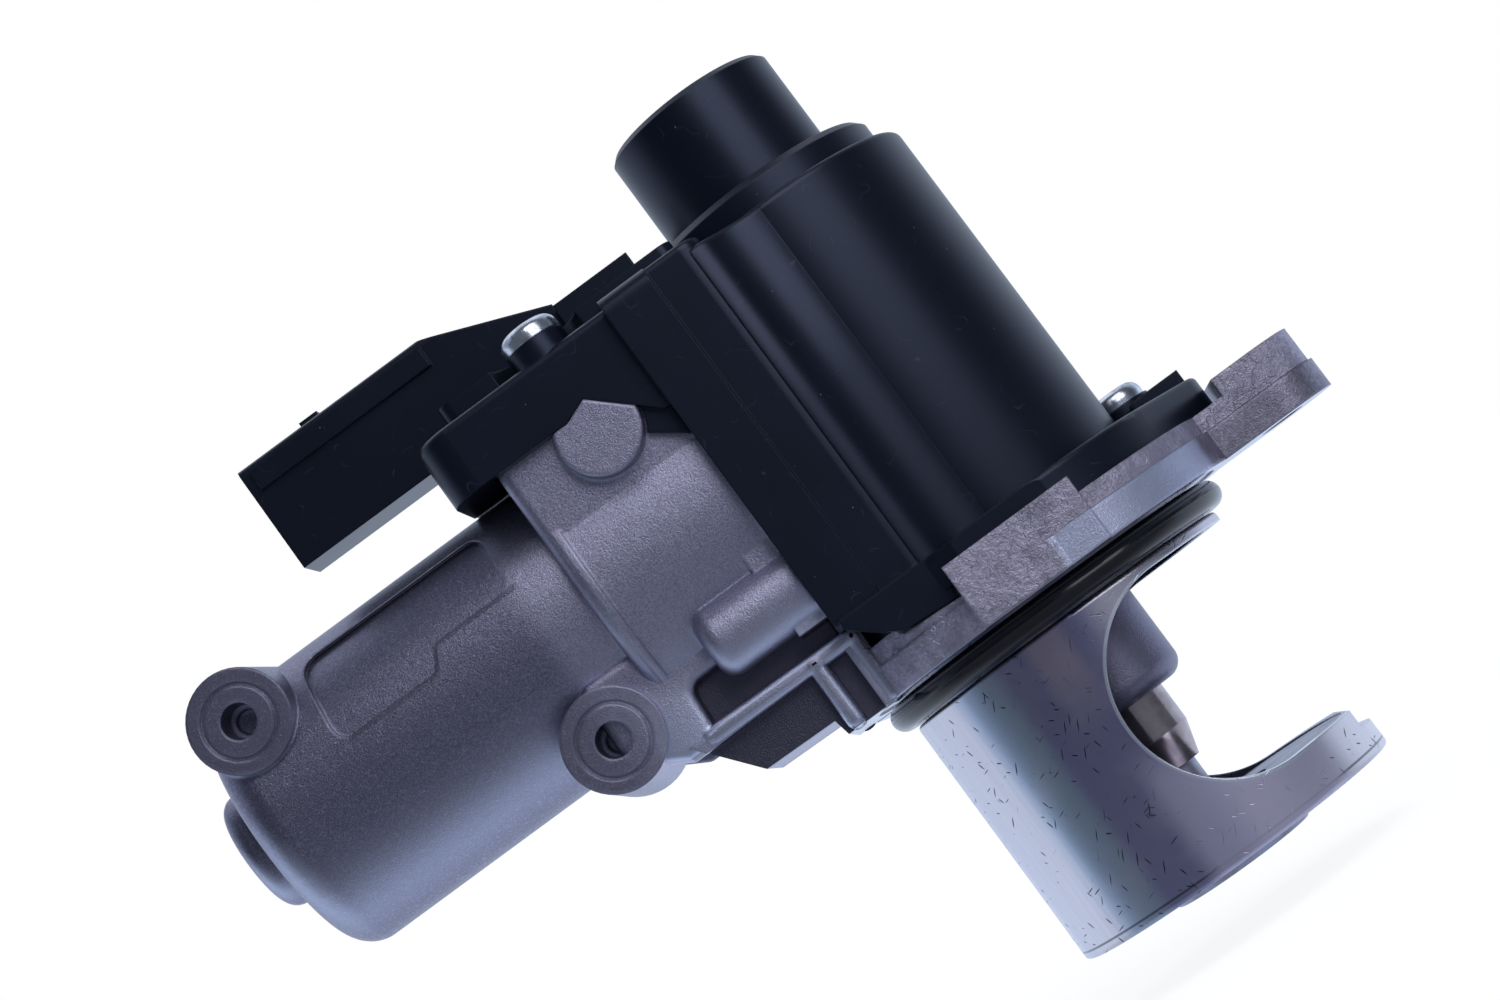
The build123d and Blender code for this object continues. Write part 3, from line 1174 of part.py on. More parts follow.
TOOTH_ROOT_Y = RACK_Y - DEDENDUM * MODULE
TOOTH_TIP_Y = RACK_Y + ADDENDUM * MODULE
TOOTH_LEAN = tan(radians(PRESSURE_ANGLE))
with BuildPart() as stem_rack:
    block((-4, 4), (-4.5, TOOTH_ROOT_Y), (RACK_FOOT_Z, RACK_TOP_Z))
    with BuildSketch(Plane.YZ.offset(-4)):
        for k in range(-1, 4):
            z = OUTPUT_Z + MODULE * pi * (k + 0.5)
            half_pitch = MODULE * pi / 4 - BACKLASH
            wide = half_pitch + DEDENDUM * MODULE * TOOTH_LEAN
            narrow = half_pitch - ADDENDUM * MODULE * TOOTH_LEAN
            outline(
                [
                    (TOOTH_ROOT_Y - 0.1, z - wide),
                    (TOOTH_ROOT_Y, z - wide),
                    (TOOTH_TIP_Y, z - narrow),
                    (TOOTH_TIP_Y, z + narrow),
                    (TOOTH_ROOT_Y, z + wide),
                    (TOOTH_ROOT_Y - 0.1, z + wide),
                ]
            )
    extrude(amount=8)
    post(RACK_FOOT_Z - 1, (0, 0), SHANK_R + PRESS_GAP, SHANK_TOP_Z - RACK_FOOT_Z + 1.2, Mode.SUBTRACT)
    post(RACK_TOP_Z - PEG_L - 0.2, (0, 0), PEG_R + PRESS_GAP, 10, Mode.SUBTRACT)
finish(stem_rack, "stem_rack")

with BuildPart() as spring_retainer:
    post(SPRING_TOP_Z + 0.05, (0, 0), RETAINER_R, RETAINER_T)
    post(SPRING_TOP_Z - 1.5, (0, 0), SPRING_R - 2, 2)
    post(SPRING_TOP_Z - 3, (0, 0), STEM_R + PRESS_GAP, 10, Mode.SUBTRACT)
finish(spring_retainer, "spring_retainer")

with BuildPart() as magnet_carrier:
    post(RACK_TOP_Z + 0.05, (0, 0), CARRIER_R, CARRIER_TOP_Z - RACK_TOP_Z - 0.05)
    post(RACK_TOP_Z - PEG_L, (0, 0), PEG_R, PEG_L + 1)
    post(CARRIER_TOP_Z - MAGNET_L, (0, 0), POSITION_MAGNET_R + PRESS_GAP, MAGNET_L + 1, Mode.SUBTRACT)
finish(magnet_carrier, "magnet_carrier")

with BuildPart() as position_magnet:
    post(CARRIER_TOP_Z - MAGNET_L + 0.05, (0, 0), POSITION_MAGNET_R, MAGNET_L - 0.05)
finish(position_magnet, "position_magnet")

with BuildPart() as spring_base:
    with BuildSketch(Plane.XY.offset(FLANGE_H + PRESS_GAP)):
        Circle(RETAINER_R + 0.4)
        Circle(SEAL_R + 0.5, mode=Mode.SUBTRACT)
    extrude(amount=SPRING_BASE_Z - FLANGE_H - 0.2)
finish(spring_base, "spring_base")

with BuildPart() as return_spring:
    low_z = SPRING_BASE_Z + SPRING_WIRE_R
    with BuildLine() as coil:
        Helix(
            pitch=(SPRING_TOP_Z - SPRING_BASE_Z - 2 * SPRING_WIRE_R) / SPRING_COILS,
            height=SPRING_TOP_Z - SPRING_BASE_Z - 2 * SPRING_WIRE_R,
            radius=SPRING_R,
            center=(0, 0, low_z),
        )
    with BuildSketch(Plane(origin=coil.line @ 0, z_dir=coil.line % 0)):
        Circle(SPRING_WIRE_R)
    sweep(path=coil.line, is_frenet=True)
finish(return_spring, "return_spring")


# ---------------------------------------------------------------- screws of the cover
def domed_screw(spot, seat_z, foot_z):
    """A screw with a low domed head and a hexagonal recess, standing on seat_z."""
    x, y = spot
    with BuildPart(mode=Mode.PRIVATE) as screw:
        post(foot_z, spot, COVER_SCREW_R, seat_z - foot_z + 1)
        post(seat_z + PRESS_GAP, spot, COVER_SCREW_HEAD_R, COVER_SCREW_HEAD_H)
        fillet(screw.edges().group_by(Axis.Z)[-1], radius=COVER_SCREW_DOME_R)
        with BuildSketch(Plane.XY.offset(seat_z + COVER_SCREW_HEAD_H - DRIVE_DEPTH)):
            with Locations(spot):
                RegularPolygon(DRIVE_R, 6)
        extrude(amount=3, mode=Mode.SUBTRACT)
    return screw.part


with BuildPart() as lid_screws:
    for side in (-1, 1):
        add(domed_screw((LID_SCREW_X, side * LID_SCREW_Y), LID_SEAT_Z, LID_SCREW_FOOT_Z))
finish(lid_screws, "lid_screws")

with BuildPart() as rim_screws:
    for spot in (RIM_SCREW, FAR_SCREW):
        add(domed_screw(spot, RIM_SEAT_Z, RIM_SCREW_FOOT_Z))
finish(rim_screws, "rim_screws")

os.makedirs("parts", exist_ok=True)
for piece in parts:
    export_step(piece, f"parts/{piece.label}.step")
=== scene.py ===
"""Finishes, lights and camera of a motorised exhaust gas recirculation valve, in metres."""

from math import asin, cos, radians, sin, tan

import bmesh
import bpy
from bpy.props import FloatProperty, FloatVectorProperty, PointerProperty
from mathutils import Matrix, Vector


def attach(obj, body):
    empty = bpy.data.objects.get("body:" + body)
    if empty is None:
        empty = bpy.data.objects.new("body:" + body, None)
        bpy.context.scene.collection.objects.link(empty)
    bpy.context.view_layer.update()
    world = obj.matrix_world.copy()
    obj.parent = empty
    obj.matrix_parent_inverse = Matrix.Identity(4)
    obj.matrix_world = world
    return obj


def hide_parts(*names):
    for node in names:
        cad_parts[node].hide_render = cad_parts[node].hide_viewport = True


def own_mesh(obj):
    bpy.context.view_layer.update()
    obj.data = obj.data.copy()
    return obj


bl_info = {
    "name": "Recirculation Valve",
    "version": (1, 0, 0),
    "blender": (4, 5, 0),
    "location": "View3D > Sidebar > Valve",
    "description": "Finishes, lights and camera of a motorised exhaust gas recirculation valve",
    "category": "Object",
}

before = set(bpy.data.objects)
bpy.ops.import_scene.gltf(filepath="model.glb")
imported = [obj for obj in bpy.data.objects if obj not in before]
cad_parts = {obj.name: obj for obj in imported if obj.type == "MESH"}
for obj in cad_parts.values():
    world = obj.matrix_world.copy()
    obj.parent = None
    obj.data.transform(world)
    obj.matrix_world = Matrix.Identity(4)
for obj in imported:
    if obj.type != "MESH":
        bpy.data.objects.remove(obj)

MM = 0.001
SHARP_ANGLE = 0.7       # radians; faces that meet at more than this keep a crisp edge
ARC_STEPS = 6           # in each rounded corner of an outline
RIM_STEPS = 5           # in each rounded rim of a plate


# ---------------------------------------------------------------- shader maths
class Field:
    """An output of a shader node. Arithmetic on it adds Math nodes."""

    def __init__(self, graph, socket):
        self.graph = graph
        self.socket = socket

    def maths(self, operation, *values):
        return self.graph.node("ShaderNodeMath", {"operation": operation}, dict(enumerate(values)))

    def __add__(self, other):
        return self.maths("ADD", self, other)

    __radd__ = __add__

    def __sub__(self, other):
        return self.maths("SUBTRACT", self, other)

    def __rsub__(self, other):
        return self.maths("SUBTRACT", other, self)

    def __mul__(self, other):
        return self.maths("MULTIPLY", self, other)

    __rmul__ = __mul__

    def __truediv__(self, other):
        return self.maths("DIVIDE", self, other)

    def __pow__(self, other):
        return self.maths("POWER", self, other)

    def __abs__(self):
        return self.maths("ABSOLUTE", self)

    def larger(self, other):
        return self.maths("MAXIMUM", self, other)

    def between(self, low, high):
        """0 below low, 1 above high, smooth between; high may be the lower of the two."""
        settings = {"interpolation_type": "SMOOTHSTEP"}
        sockets = {"Value": self, "From Min": low, "From Max": high}
        return self.graph.node("ShaderNodeMapRange", settings, sockets)

    def inside(self, low, high, soft):
        """1 from low to high, fading over soft beyond each."""
        return self.between(low - soft, low) * self.between(high + soft, high)


class Graph:
    """The node tree of a material or a world, with one way of adding nodes to it."""

    def __init__(self, owner):
        owner.use_nodes = True
        self.tree = owner.node_tree
        self.tree.nodes.clear()

    def node(self, kind, settings=None, sockets=None, out=0):
        """Adds a node: its settings first, then the values or links of its sockets."""
        made = self.tree.nodes.new(kind)
        for key, value in (settings or {}).items():
            setattr(made, key, value)
        for key, value in (sockets or {}).items():
            self.feed(made.inputs[key], value)
        return Field(self, made.outputs[out]) if made.outputs else None

    def feed(self, socket, value):
        """Links a field to a socket, or sets the socket's own value."""
        if isinstance(value, Field):
            self.tree.links.new(value.socket, socket)
        elif socket.type == "RGBA":
            socket.default_value = (*value[:3], 1.0)
        else:
            socket.default_value = value

    def outputs(self, field, *names):
        """Other outputs of the node that a field comes from."""
        return [Field(self, field.socket.node.outputs[name]) for name in names]

    def axes(self, where):
        """The three parts of a vector."""
        return self.outputs(self.node("ShaderNodeSeparateXYZ", sockets={"Vector": where}), "X", "Y", "Z")

    def mix(self, factor, first, second):
        """A colour between two."""
        sockets = {0: factor, 6: first, 7: second}
        return self.node("ShaderNodeMix", {"data_type": "RGBA"}, sockets, out=2)


class Finish(Graph):
    """A material whose nodes are written as expressions. Lengths are in millimetres."""

    def __init__(self, name):
        self.material = bpy.data.materials.new(name)
        super().__init__(self.material)
        spot = self.node("ShaderNodeTexCoord", out="Object")
        self.at = self.vector("SCALE", spot, scale=1 / MM)
        self.x, self.y, self.z = self.axes(self.at)
        self.facing = self.node("ShaderNodeNewGeometry", out="Normal")
        self.nx, self.ny, self.nz = self.axes(self.facing)

    def from_axis(self):
        """Distance from the spigot's axis."""
        return (self.x * self.x + self.y * self.y) ** 0.5

    def vector(self, operation, first, second=None, scale=None, out="Vector"):
        sockets = {0: first}
        if second is not None:
            sockets[1] = second
        if scale is not None:
            sockets["Scale"] = scale
        return self.node("ShaderNodeVectorMath", {"operation": operation}, sockets, out)

    def moved(self, where, shift):
        """A place carried off in every direction, so that two patterns don't agree."""
        return self.vector("ADD", where, (shift, shift, shift))

    def stretched(self, x, y, z):
        """The place on the piece with each direction scaled, for grain that runs one way."""
        return self.vector("MULTIPLY", self.at, (x, y, z))

    def noise(self, size, detail=2.0, rough=0.5, at=None, shift=0.0):
        """Soft noise from 0 to 1 with lumps of about size."""
        where = self.at if at is None else at
        if shift:
            where = self.moved(where, shift)
        sockets = {"Vector": where, "Scale": 1 / size, "Detail": detail, "Roughness": rough}
        return self.node("ShaderNodeTexNoise", sockets=sockets)

    def cells(self, size, where):
        """Distance to the nearest of scattered points about size apart, as a share of size."""
        return self.node("ShaderNodeTexVoronoi", sockets={"Vector": where, "Scale": 1 / size}, out="Distance")

    def specks(self, size, radius, shift):
        """Small round spots about size apart. Their radius is a share of that distance."""
        return self.cells(size, self.moved(self.at, shift)).between(radius, radius * 0.45)

    def scratches(self, length, width, share, shift):
        """Short thin marks: where a soft noise crosses its middle value, on a share of the surface."""
        run = self.noise(length, 1.0, shift=shift)
        gate = self.noise(length * 0.6, 1.0, shift=shift + 40).between(0.75 - share, 0.80 - share)
        return abs(run - 0.5).between(width, 0.0) * gate

    def dashes(self, length, width, rarity, turn, shift):
        """Short straight marks, turned by an angle in the XZ plane; a higher rarity spaces them out."""
        right, up = cos(radians(turn)), sin(radians(turn))
        along = self.vector("DOT_PRODUCT", self.at, (right, 0.0, up), out="Value") / (length * rarity)
        across = self.vector("DOT_PRODUCT", self.at, (-up, 0.0, right), out="Value") / (width * rarity)
        depth = self.y / (length * rarity)
        where = self.node("ShaderNodeCombineXYZ", sockets={0: along + shift, 1: depth, 2: across})
        return self.cells(1.0, where).between(0.5 / rarity, 0.3 / rarity)

    def rounded(self, radius):
        """The normal with its sharp edges rounded by radius."""
        return self.node("ShaderNodeBevel", {"samples": 4}, {"Radius": radius * MM})

    def edges(self, radius):
        """1 along sharp edges, where the rounded normal leaves the flat one."""
        likeness = self.vector("DOT_PRODUCT", self.rounded(radius), self.facing, out="Value")
        return likeness.between(0.985, 0.80)

    def bump(self, height, depth, normal=None):
        """The normal of a surface that a height from 0 to 1 raises by up to depth."""
        sockets = {"Height": height, "Distance": depth * MM}
        if normal is not None:
            sockets["Normal"] = normal
        return self.node("ShaderNodeBump", sockets=sockets)

    def surface(self, **sockets):
        """Ends the material in a Principled surface."""
        names = {key.replace("_", " ").title().replace("Ior", "IOR"): value for key, value in sockets.items()}
        shader = self.node("ShaderNodeBsdfPrincipled", sockets=names)
        self.node("ShaderNodeOutputMaterial", sockets={"Surface": shader})
        return self.material


def coat(material, *nodes):
    """Gives a material to CAD nodes."""
    for name in nodes:
        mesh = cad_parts[name].data
        mesh.materials.clear()
        mesh.materials.append(material)


def fix_on(piece, name, material):
    """Ends a mesh as a piece that rides on the housing."""
    bmesh.ops.recalc_face_normals(piece, faces=piece.faces)
    mesh = bpy.data.meshes.new(name)
    piece.to_mesh(mesh)
    piece.free()
    mesh.shade_smooth()
    mesh.set_sharp_from_angle(angle=SHARP_ANGLE)
    mesh.materials.append(material)
    made = bpy.data.objects.new(name, mesh)
    bpy.context.scene.collection.objects.link(made)
    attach(made, "housing")


def rounded_outline(corners, radius):
    """A closed line with an arc at each of its corners, which go round anticlockwise."""
    line = []
    for i, corner in enumerate(corners):
        here = Vector(corner)
        back = (Vector(corners[i - 1]) - here).normalized()
        on = (Vector(corners[(i + 1) % len(corners)]) - here).normalized()
        half = back.angle(on) / 2
        middle = here + (back + on).normalized() * radius / sin(half)
        start = here + back * radius / tan(half) - middle
        end = here + on * radius / tan(half) - middle
        for step in range(ARC_STEPS + 1):
            spoke = start.lerp(end, step / ARC_STEPS)
            line.append(middle + spoke.normalized() * radius)
    return line


def inset(line, amount):
    """The outline drawn in by amount."""
    moved = []
    for i, here in enumerate(line):
        along = (line[(i + 1) % len(line)] - line[i - 1]).normalized()
        moved.append(here + Vector((-along.y, along.x)) * amount)
    return moved


def point(piece, x, y, z):
    """A new vertex, from millimetres."""
    return piece.verts.new((x * MM, y * MM, z * MM))


def join_rings(piece, rings):
    """Faces between each ring of vertices and the next, and a cap on either end."""
    count = len(rings[0])
    for low, high in zip(rings, rings[1:]):
        for i in range(count):
            j = (i + 1) % count
            piece.faces.new((low[i], low[j], high[j], high[i]))
    piece.faces.new(rings[0][::-1])
    piece.faces.new(rings[-1])


def soft_plate(piece, corners, radius, back, front, soft):
    """A plate on either side of the casting, with its outer rim rounded by soft.

    back and front are distances from the casting's middle plane.
    """
    flare = 0.3             # the buried back is wider by this
    outline = rounded_outline(corners, radius)
    levels = [(back, -flare)]
    for step in range(RIM_STEPS + 1):
        turn = radians(90) * step / RIM_STEPS
        levels.append((front - soft * (1 - sin(turn)), soft * (1 - cos(turn))))
    for side in (-1, 1):
        rings = []
        for reach, amount in levels:
            rings.append([point(piece, x, side * reach, z) for x, z in inset(outline, amount)])
        join_rings(piece, rings)


def toned(level, colour):
    """A colour made darker or lighter."""
    return tuple(level * part for part in colour)


# ---------------------------------------------------------------- sizes and colours
def colour_property(name, description, default):
    return FloatVectorProperty(
        name=name,
        description=description,
        subtype="COLOR",
        size=3,
        min=0.0,
        max=1.0,
        default=default,
    )


def length_property(name, description, default):
    return FloatProperty(
        name=name,
        description=description,
        unit="LENGTH",
        precision=5,
        min=0.0,
        default=default,
    )


def strength_property(name, description, default):
    return FloatProperty(name=name, description=description, default=default)


class CastingLook(bpy.types.PropertyGroup):
    """The die-cast body."""

    metal: colour_property("Metal", "Blasted aluminium", (0.42, 0.40, 0.54))
    pale: colour_property("High spots", "Rubbed edges and high spots", (0.56, 0.56, 0.68))
    barrel: colour_property("Barrel", "The barrel's darker skin", (0.23, 0.22, 0.31))
    # rim is the colour of painted reflections: on rounded rims that face down and to the side, and on the
    # foot of the neck's ribs
    rim: colour_property("Rounded rims", "Smoother skin on the rims", (0.72, 0.78, 0.98))
    strip: colour_property("Smooth strip", "Smoother strip of the flange's rim", (0.62, 0.67, 0.86))
    torn: colour_property("Torn skin", "Rough metal where the casting's skin was sheared", (0.50, 0.46, 0.58))
    machined: colour_property("Machined face", "Cut faces", (0.60, 0.61, 0.70))
    grain: length_property("Grain", "Size of the blasted grain", 0.00024)


class PlasticLook(bpy.types.PropertyGroup):
    """The moulded cover, cap and connector."""

    black: colour_property("Plastic", "Moulded plastic", (0.0022, 0.0030, 0.0072))
    dust: colour_property("Dust", "Specks of dust", (0.16, 0.17, 0.22))
    corner: length_property("Corner", "Radius of the cover's soft corner", 0.0050)
    hollow: length_property("Hollow", "Radius of the hollow between that corner and the drum", 0.0110)


class TubeLook(bpy.types.PropertyGroup):
    """The plated steel spigot."""

    plate: colour_property("Plating", "Zinc plating", (0.68, 0.65, 0.70))
    # violet is also used for painted shade: a dark band over the tube's front
    violet: colour_property("Violet cast", "Interference colour of the plating", (0.32, 0.31, 0.50))
    # the brown cast is the colour of a painted highlight streak on the tube's front
    # the lilac cast is the colour of a painted reflection on the tube's lower front
    brown_highlight: colour_property("Brown cast", "Interference colour of the plating", (0.70, 0.56, 0.62))
    lilac_reflection: colour_property("Lilac cast", "Interference colour of the plating", (0.82, 0.76, 0.98))
    teal: colour_property("Teal cast", "Interference colour of the plating", (0.46, 0.56, 0.68))


class StageLook(bpy.types.PropertyGroup):
    """Floor, light and camera."""

    lens: FloatProperty(name="Lens", description="Focal length", unit="CAMERA", default=78.46)
    sky: strength_property("Surroundings", "Strength of the light from all round", 0.45)
    shade: strength_property("Shaded side", "Brightness of the camera's side in reflections", 0.10)
    glow: strength_property("Glow", "Soft light round the front lamp in reflections", 0.10)


# ---------------------------------------------------------------- places on the pieces
# In millimetres. A span has a low end, a high end and the distance over which it fades.
RIM_START = 27.5, 29.0                  # from the spigot's axis, where the flange's rim begins
UPPER_FLANGE_Z = 4.6, 10.2, 0.05        # above the flange's parting line, with the block
LOWER_FLANGE_Z = 0.1, 4.5, 0.1
WHOLE_FLANGE_Z = 0.2, 10.2, 0.05
TORN_X = -24.0, 3.0, 1.0
TORN_END_X = -25.0, -24.0
STRIP_X = 4.0, 26.5, 1.8
ARM_START_X = 27.0, 28.0
ARM_LOWER_Z = 0.1, 4.6, 0.1
FLANGE_FACE_Z = -0.2, 0.5, 0.1
BOSS_FACE_Y = -19.4, -18.6, 0.1
BARREL_START_X = -55.0, -60.0
RECESS_FOOT = (-86.0, -72.0, 0.8), (38.2, 38.8, 0.25)       # x and z of the lower edge
RECESS_SHELF = (-69.5, -57.0, 0.8), (41.6, 42.2, 0.25)      # x and z of the raised edge
RECESS_SLANT_Z = 38.6, 42.0, 0.3                            # the slanted edge between them
RECESS_SLANT = 0.47                     # how far it runs along X for each step up
RECESS_SLANT_REACH = 89.74              # how far behind x = 0 it would meet z = 0
RECESS_SLANT_WIDTH = -0.25, 0.25, 0.3
RIB_START_Y = 16.6, 17.4                # from the middle plane
NECK_RIBS_X = -53.0, -23.0, 2.0
NECK_HOLLOW = (-51.0, -24.0, 0.4), (13.5, 16.6, 0.8), (-1.0, 17.2, 0.6)
WINDOW_X = 12.6                         # centre of the window in the spigot
WINDOW_DROP = 21.1                      # how far that centre lies below the flange's face
WINDOW_RIM = 15.2, 15.65, 0.12          # from that centre
TUBE_LINE_Z = -42.05, -41.85, 0.10       # a dark line round the tube, just above its foot
TUBE_BORE = 24.0, 23.0                  # from the spigot's axis, across the tube's wall
FRONT_HALF_Y = 0.0, -5.0                # the half on the -Y side, faded in
RING_FLASH = (27.45, 27.7, 0.04), (-2.25, -2.15, 0.05)      # radius and z of the moulding line


# ---------------------------------------------------------------- pieces
class VALVE_OT_casting(bpy.types.Operator):
    """Finish the die-cast body"""

    bl_idname = "valve.casting"
    bl_label = "Casting"

    def execute(self, context):
        look = context.scene.valve_casting
        f = Finish("blasted_casting")
        grain = f.noise(look.grain / MM, 3.0, 0.65)
        lumps = f.noise(1.3, 3.0, 0.6, shift=11)
        depth = abs(f.y)
        radius = f.from_axis()
        sheared = self.sheared(f, radius)
        flow = f.noise(0.5, 4.0, 0.7, shift=8)
        patches = f.noise(3.5, 2.0, 0.6, shift=44)
        threads = f.scratches(2.2, 0.014, 0.40, shift=55)
        machined = f.nz.between(-0.97, -0.99) * f.z.inside(*FLANGE_FACE_Z)

        colour = self.blasted(f, look, grain, lumps)
        colour = self.rims_and_edges(f, look, depth, colour)
        torn_skin = f.mix(flow.between(0.30, 0.70), toned(0.70, look.torn), toned(1.12, look.torn))
        torn_skin = f.mix(patches.between(0.38, 0.62) * 0.7, torn_skin, toned(0.55, look.torn))
        torn_skin = f.mix(threads * 0.55, torn_skin, look.pale)
        colour = f.mix(sheared * 0.9, colour, torn_skin)
        strip = radius.between(*RIM_START) * f.z.inside(*LOWER_FLANGE_Z)
        strip = strip * f.x.inside(*STRIP_X) * f.ny.between(0.2, -0.2)
        colour = f.mix(strip * 0.70, colour, look.strip)
        arm = f.x.between(*ARM_START_X) * f.z.inside(*ARM_LOWER_Z)
        colour = f.mix(arm * 0.9, colour, f.mix(0.35, torn_skin, (0.0, 0.0, 0.0)))
        colour = f.mix(machined * 0.85, colour, look.machined)
        boss_face = f.ny.between(-0.985, -0.995) * f.y.inside(*BOSS_FACE_Y)
        colour = f.mix(boss_face * 0.45, colour, toned(0.55, look.metal))
        colour = self.wear(f, look, colour)
        # painted shade: the hollows of the neck and the boss inside the spigot are darkened
        hollow_x, hollow_y, hollow_z = NECK_HOLLOW
        hollow = depth.inside(*hollow_y) * f.x.inside(*hollow_x) * f.z.inside(*hollow_z)
        colour = f.mix(hollow * 0.92, colour, toned(0.36, look.barrel))
        painted_boss_shade = f.z.between(-0.8, -2.0)
        colour = f.mix(painted_boss_shade * 0.75, colour, toned(0.75, look.barrel))

        height = grain * 0.5 + lumps * 0.3
        height = height + sheared * (flow * 1.6 + threads * 0.5 + patches * 3.0)
        height = height * (1 - machined * 0.85)
        normal = f.bump(height, 0.12, f.rounded(0.6))
        roughness = 0.30 + grain * 0.10 - machined * 0.14 + sheared * 0.06
        material = f.surface(base_color=colour, roughness=roughness, metallic=0.92, normal=normal)
        coat(material, "valve_body")
        self.neck_ribs(material)
        return {"FINISHED"}

    def sheared(self, f, radius):
        """1 where the skin was sheared: the flange's rim near the block, and the block's face."""
        rim = radius.between(*RIM_START) * f.nz.between(0.6, 0.3) * f.nz.between(-0.6, -0.3)
        upper = f.z.inside(*UPPER_FLANGE_Z)
        left = f.x.inside(*TORN_X)
        torn = rim * upper.larger(left * f.z.inside(*WHOLE_FLANGE_Z)) * f.ny.between(0.2, -0.2)
        return torn * f.x.between(*TORN_END_X)

    def blasted(self, f, look, grain, lumps):
        """The grained metal, darker on the barrel, with dark and pale specks."""
        cloud = f.noise(19.0, 3.0, 0.5, shift=5)
        speckle = grain.between(0.32, 0.72)
        dull = f.mix(speckle, toned(0.68, look.barrel), toned(1.22, look.barrel))
        colour = f.mix(speckle, toned(0.70, look.metal), toned(1.18, look.metal))
        colour = f.mix(cloud.between(0.38, 0.68) * 0.30, colour, toned(0.72, look.metal))
        colour = f.mix(lumps.between(0.55, 0.8) * 0.30, colour, look.pale)
        colour = f.mix(f.x.between(*BARREL_START_X), colour, dull)
        colour = f.mix(f.specks(1.7, 0.09, 3) * 0.45, colour, toned(0.35, look.metal))
        return f.mix(f.specks(3.1, 0.06, 17) * 0.6, colour, look.pale)

    def rims_and_edges(self, f, look, depth, colour):
        """Rubbed edges, painted shade at the dark foot of the recess, and painted pale reflections on rims
        and ribs.
        """
        colour = f.mix(f.edges(0.5) * 0.45, colour, look.pale)
        # painted reflection: rounded rims that face down and to the side are made paler and bluer
        soft_x, soft_y, soft_z = f.axes(f.rounded(1.3))
        rims = (soft_x * -0.55 - soft_z * 0.65 - soft_y * 0.3).between(0.45, 0.85)
        rims = rims * soft_y.between(0.2, -0.1) * f.ny.between(-0.2, -0.9)
        colour = f.mix(rims * 0.7, colour, look.rim)
        # painted shade: a dark line along the foot of the recess, along its raised shelf and along the slant
        # between them
        lower, shelf = (f.z.inside(*z) * f.x.inside(*x) for x, z in (RECESS_FOOT, RECESS_SHELF))
        slant = (f.x - f.z * RECESS_SLANT + RECESS_SLANT_REACH).inside(*RECESS_SLANT_WIDTH)
        slant = slant * f.z.inside(*RECESS_SLANT_Z)
        foot = lower.larger(shelf).larger(slant) * f.ny.between(0.0, -0.2)
        colour = f.mix(foot * 0.5, colour, toned(0.25, look.barrel))
        # painted reflection: the web and ribs of the neck are paler towards their foot
        ribs = depth.between(*RIB_START_Y) * f.x.inside(*NECK_RIBS_X)
        ribs = ribs * f.z.between(23.0, 11.0) * f.z.between(-1.0, -0.5)
        return f.mix(ribs * 0.60, colour, look.rim)

    def wear(self, f, look, colour):
        """Faint scuffs and short pale hairs in three directions."""
        scuffs = f.scratches(4.0, 0.010, 0.22, shift=21)
        colour = f.mix(scuffs * 0.12, colour, look.pale)
        hairs = f.dashes(0.9, 0.07, 2.6, 50, 3.0).larger(f.dashes(0.8, 0.07, 2.6, 125, 9.0))
        hairs = hairs.larger(f.dashes(0.7, 0.07, 2.8, 5, 14.0))
        return f.mix(hairs * 0.5, colour, look.pale)

    def neck_ribs(self, material):
        """The soft web beside the lower boss and the rounded ribs of the neck, on either side."""
        piece = bmesh.new()
        web = (
            (-58.5, 26.0),
            (-58.5, 13.5),
            (-51.3, 9.4),
            (-46.2, 9.4),
            (-45.6, 17.4),
            (-38.0, 17.6),
            (-38.0, 26.0),
        )
        soft_plate(piece, web, radius=1.7, back=12.0, front=17.8, soft=1.4)
        ribs = (
            ((-51.0, 10.6), (-47.0, 9.0), (-23.4, 9.0), (-23.4, 11.3), (-45.5, 11.5)),
            ((-31.8, 11.0), (-31.8, 0.0), (-29.4, 0.0), (-29.4, 11.0)),
            ((-25.6, 11.3), (-25.6, 0.0), (-23.4, 0.0), (-23.4, 11.3)),
        )
        for rib in ribs:
            soft_plate(piece, rib, radius=1.0, back=14.0, front=19.4, soft=0.85)
        fix_on(piece, "neck_ribs", material)


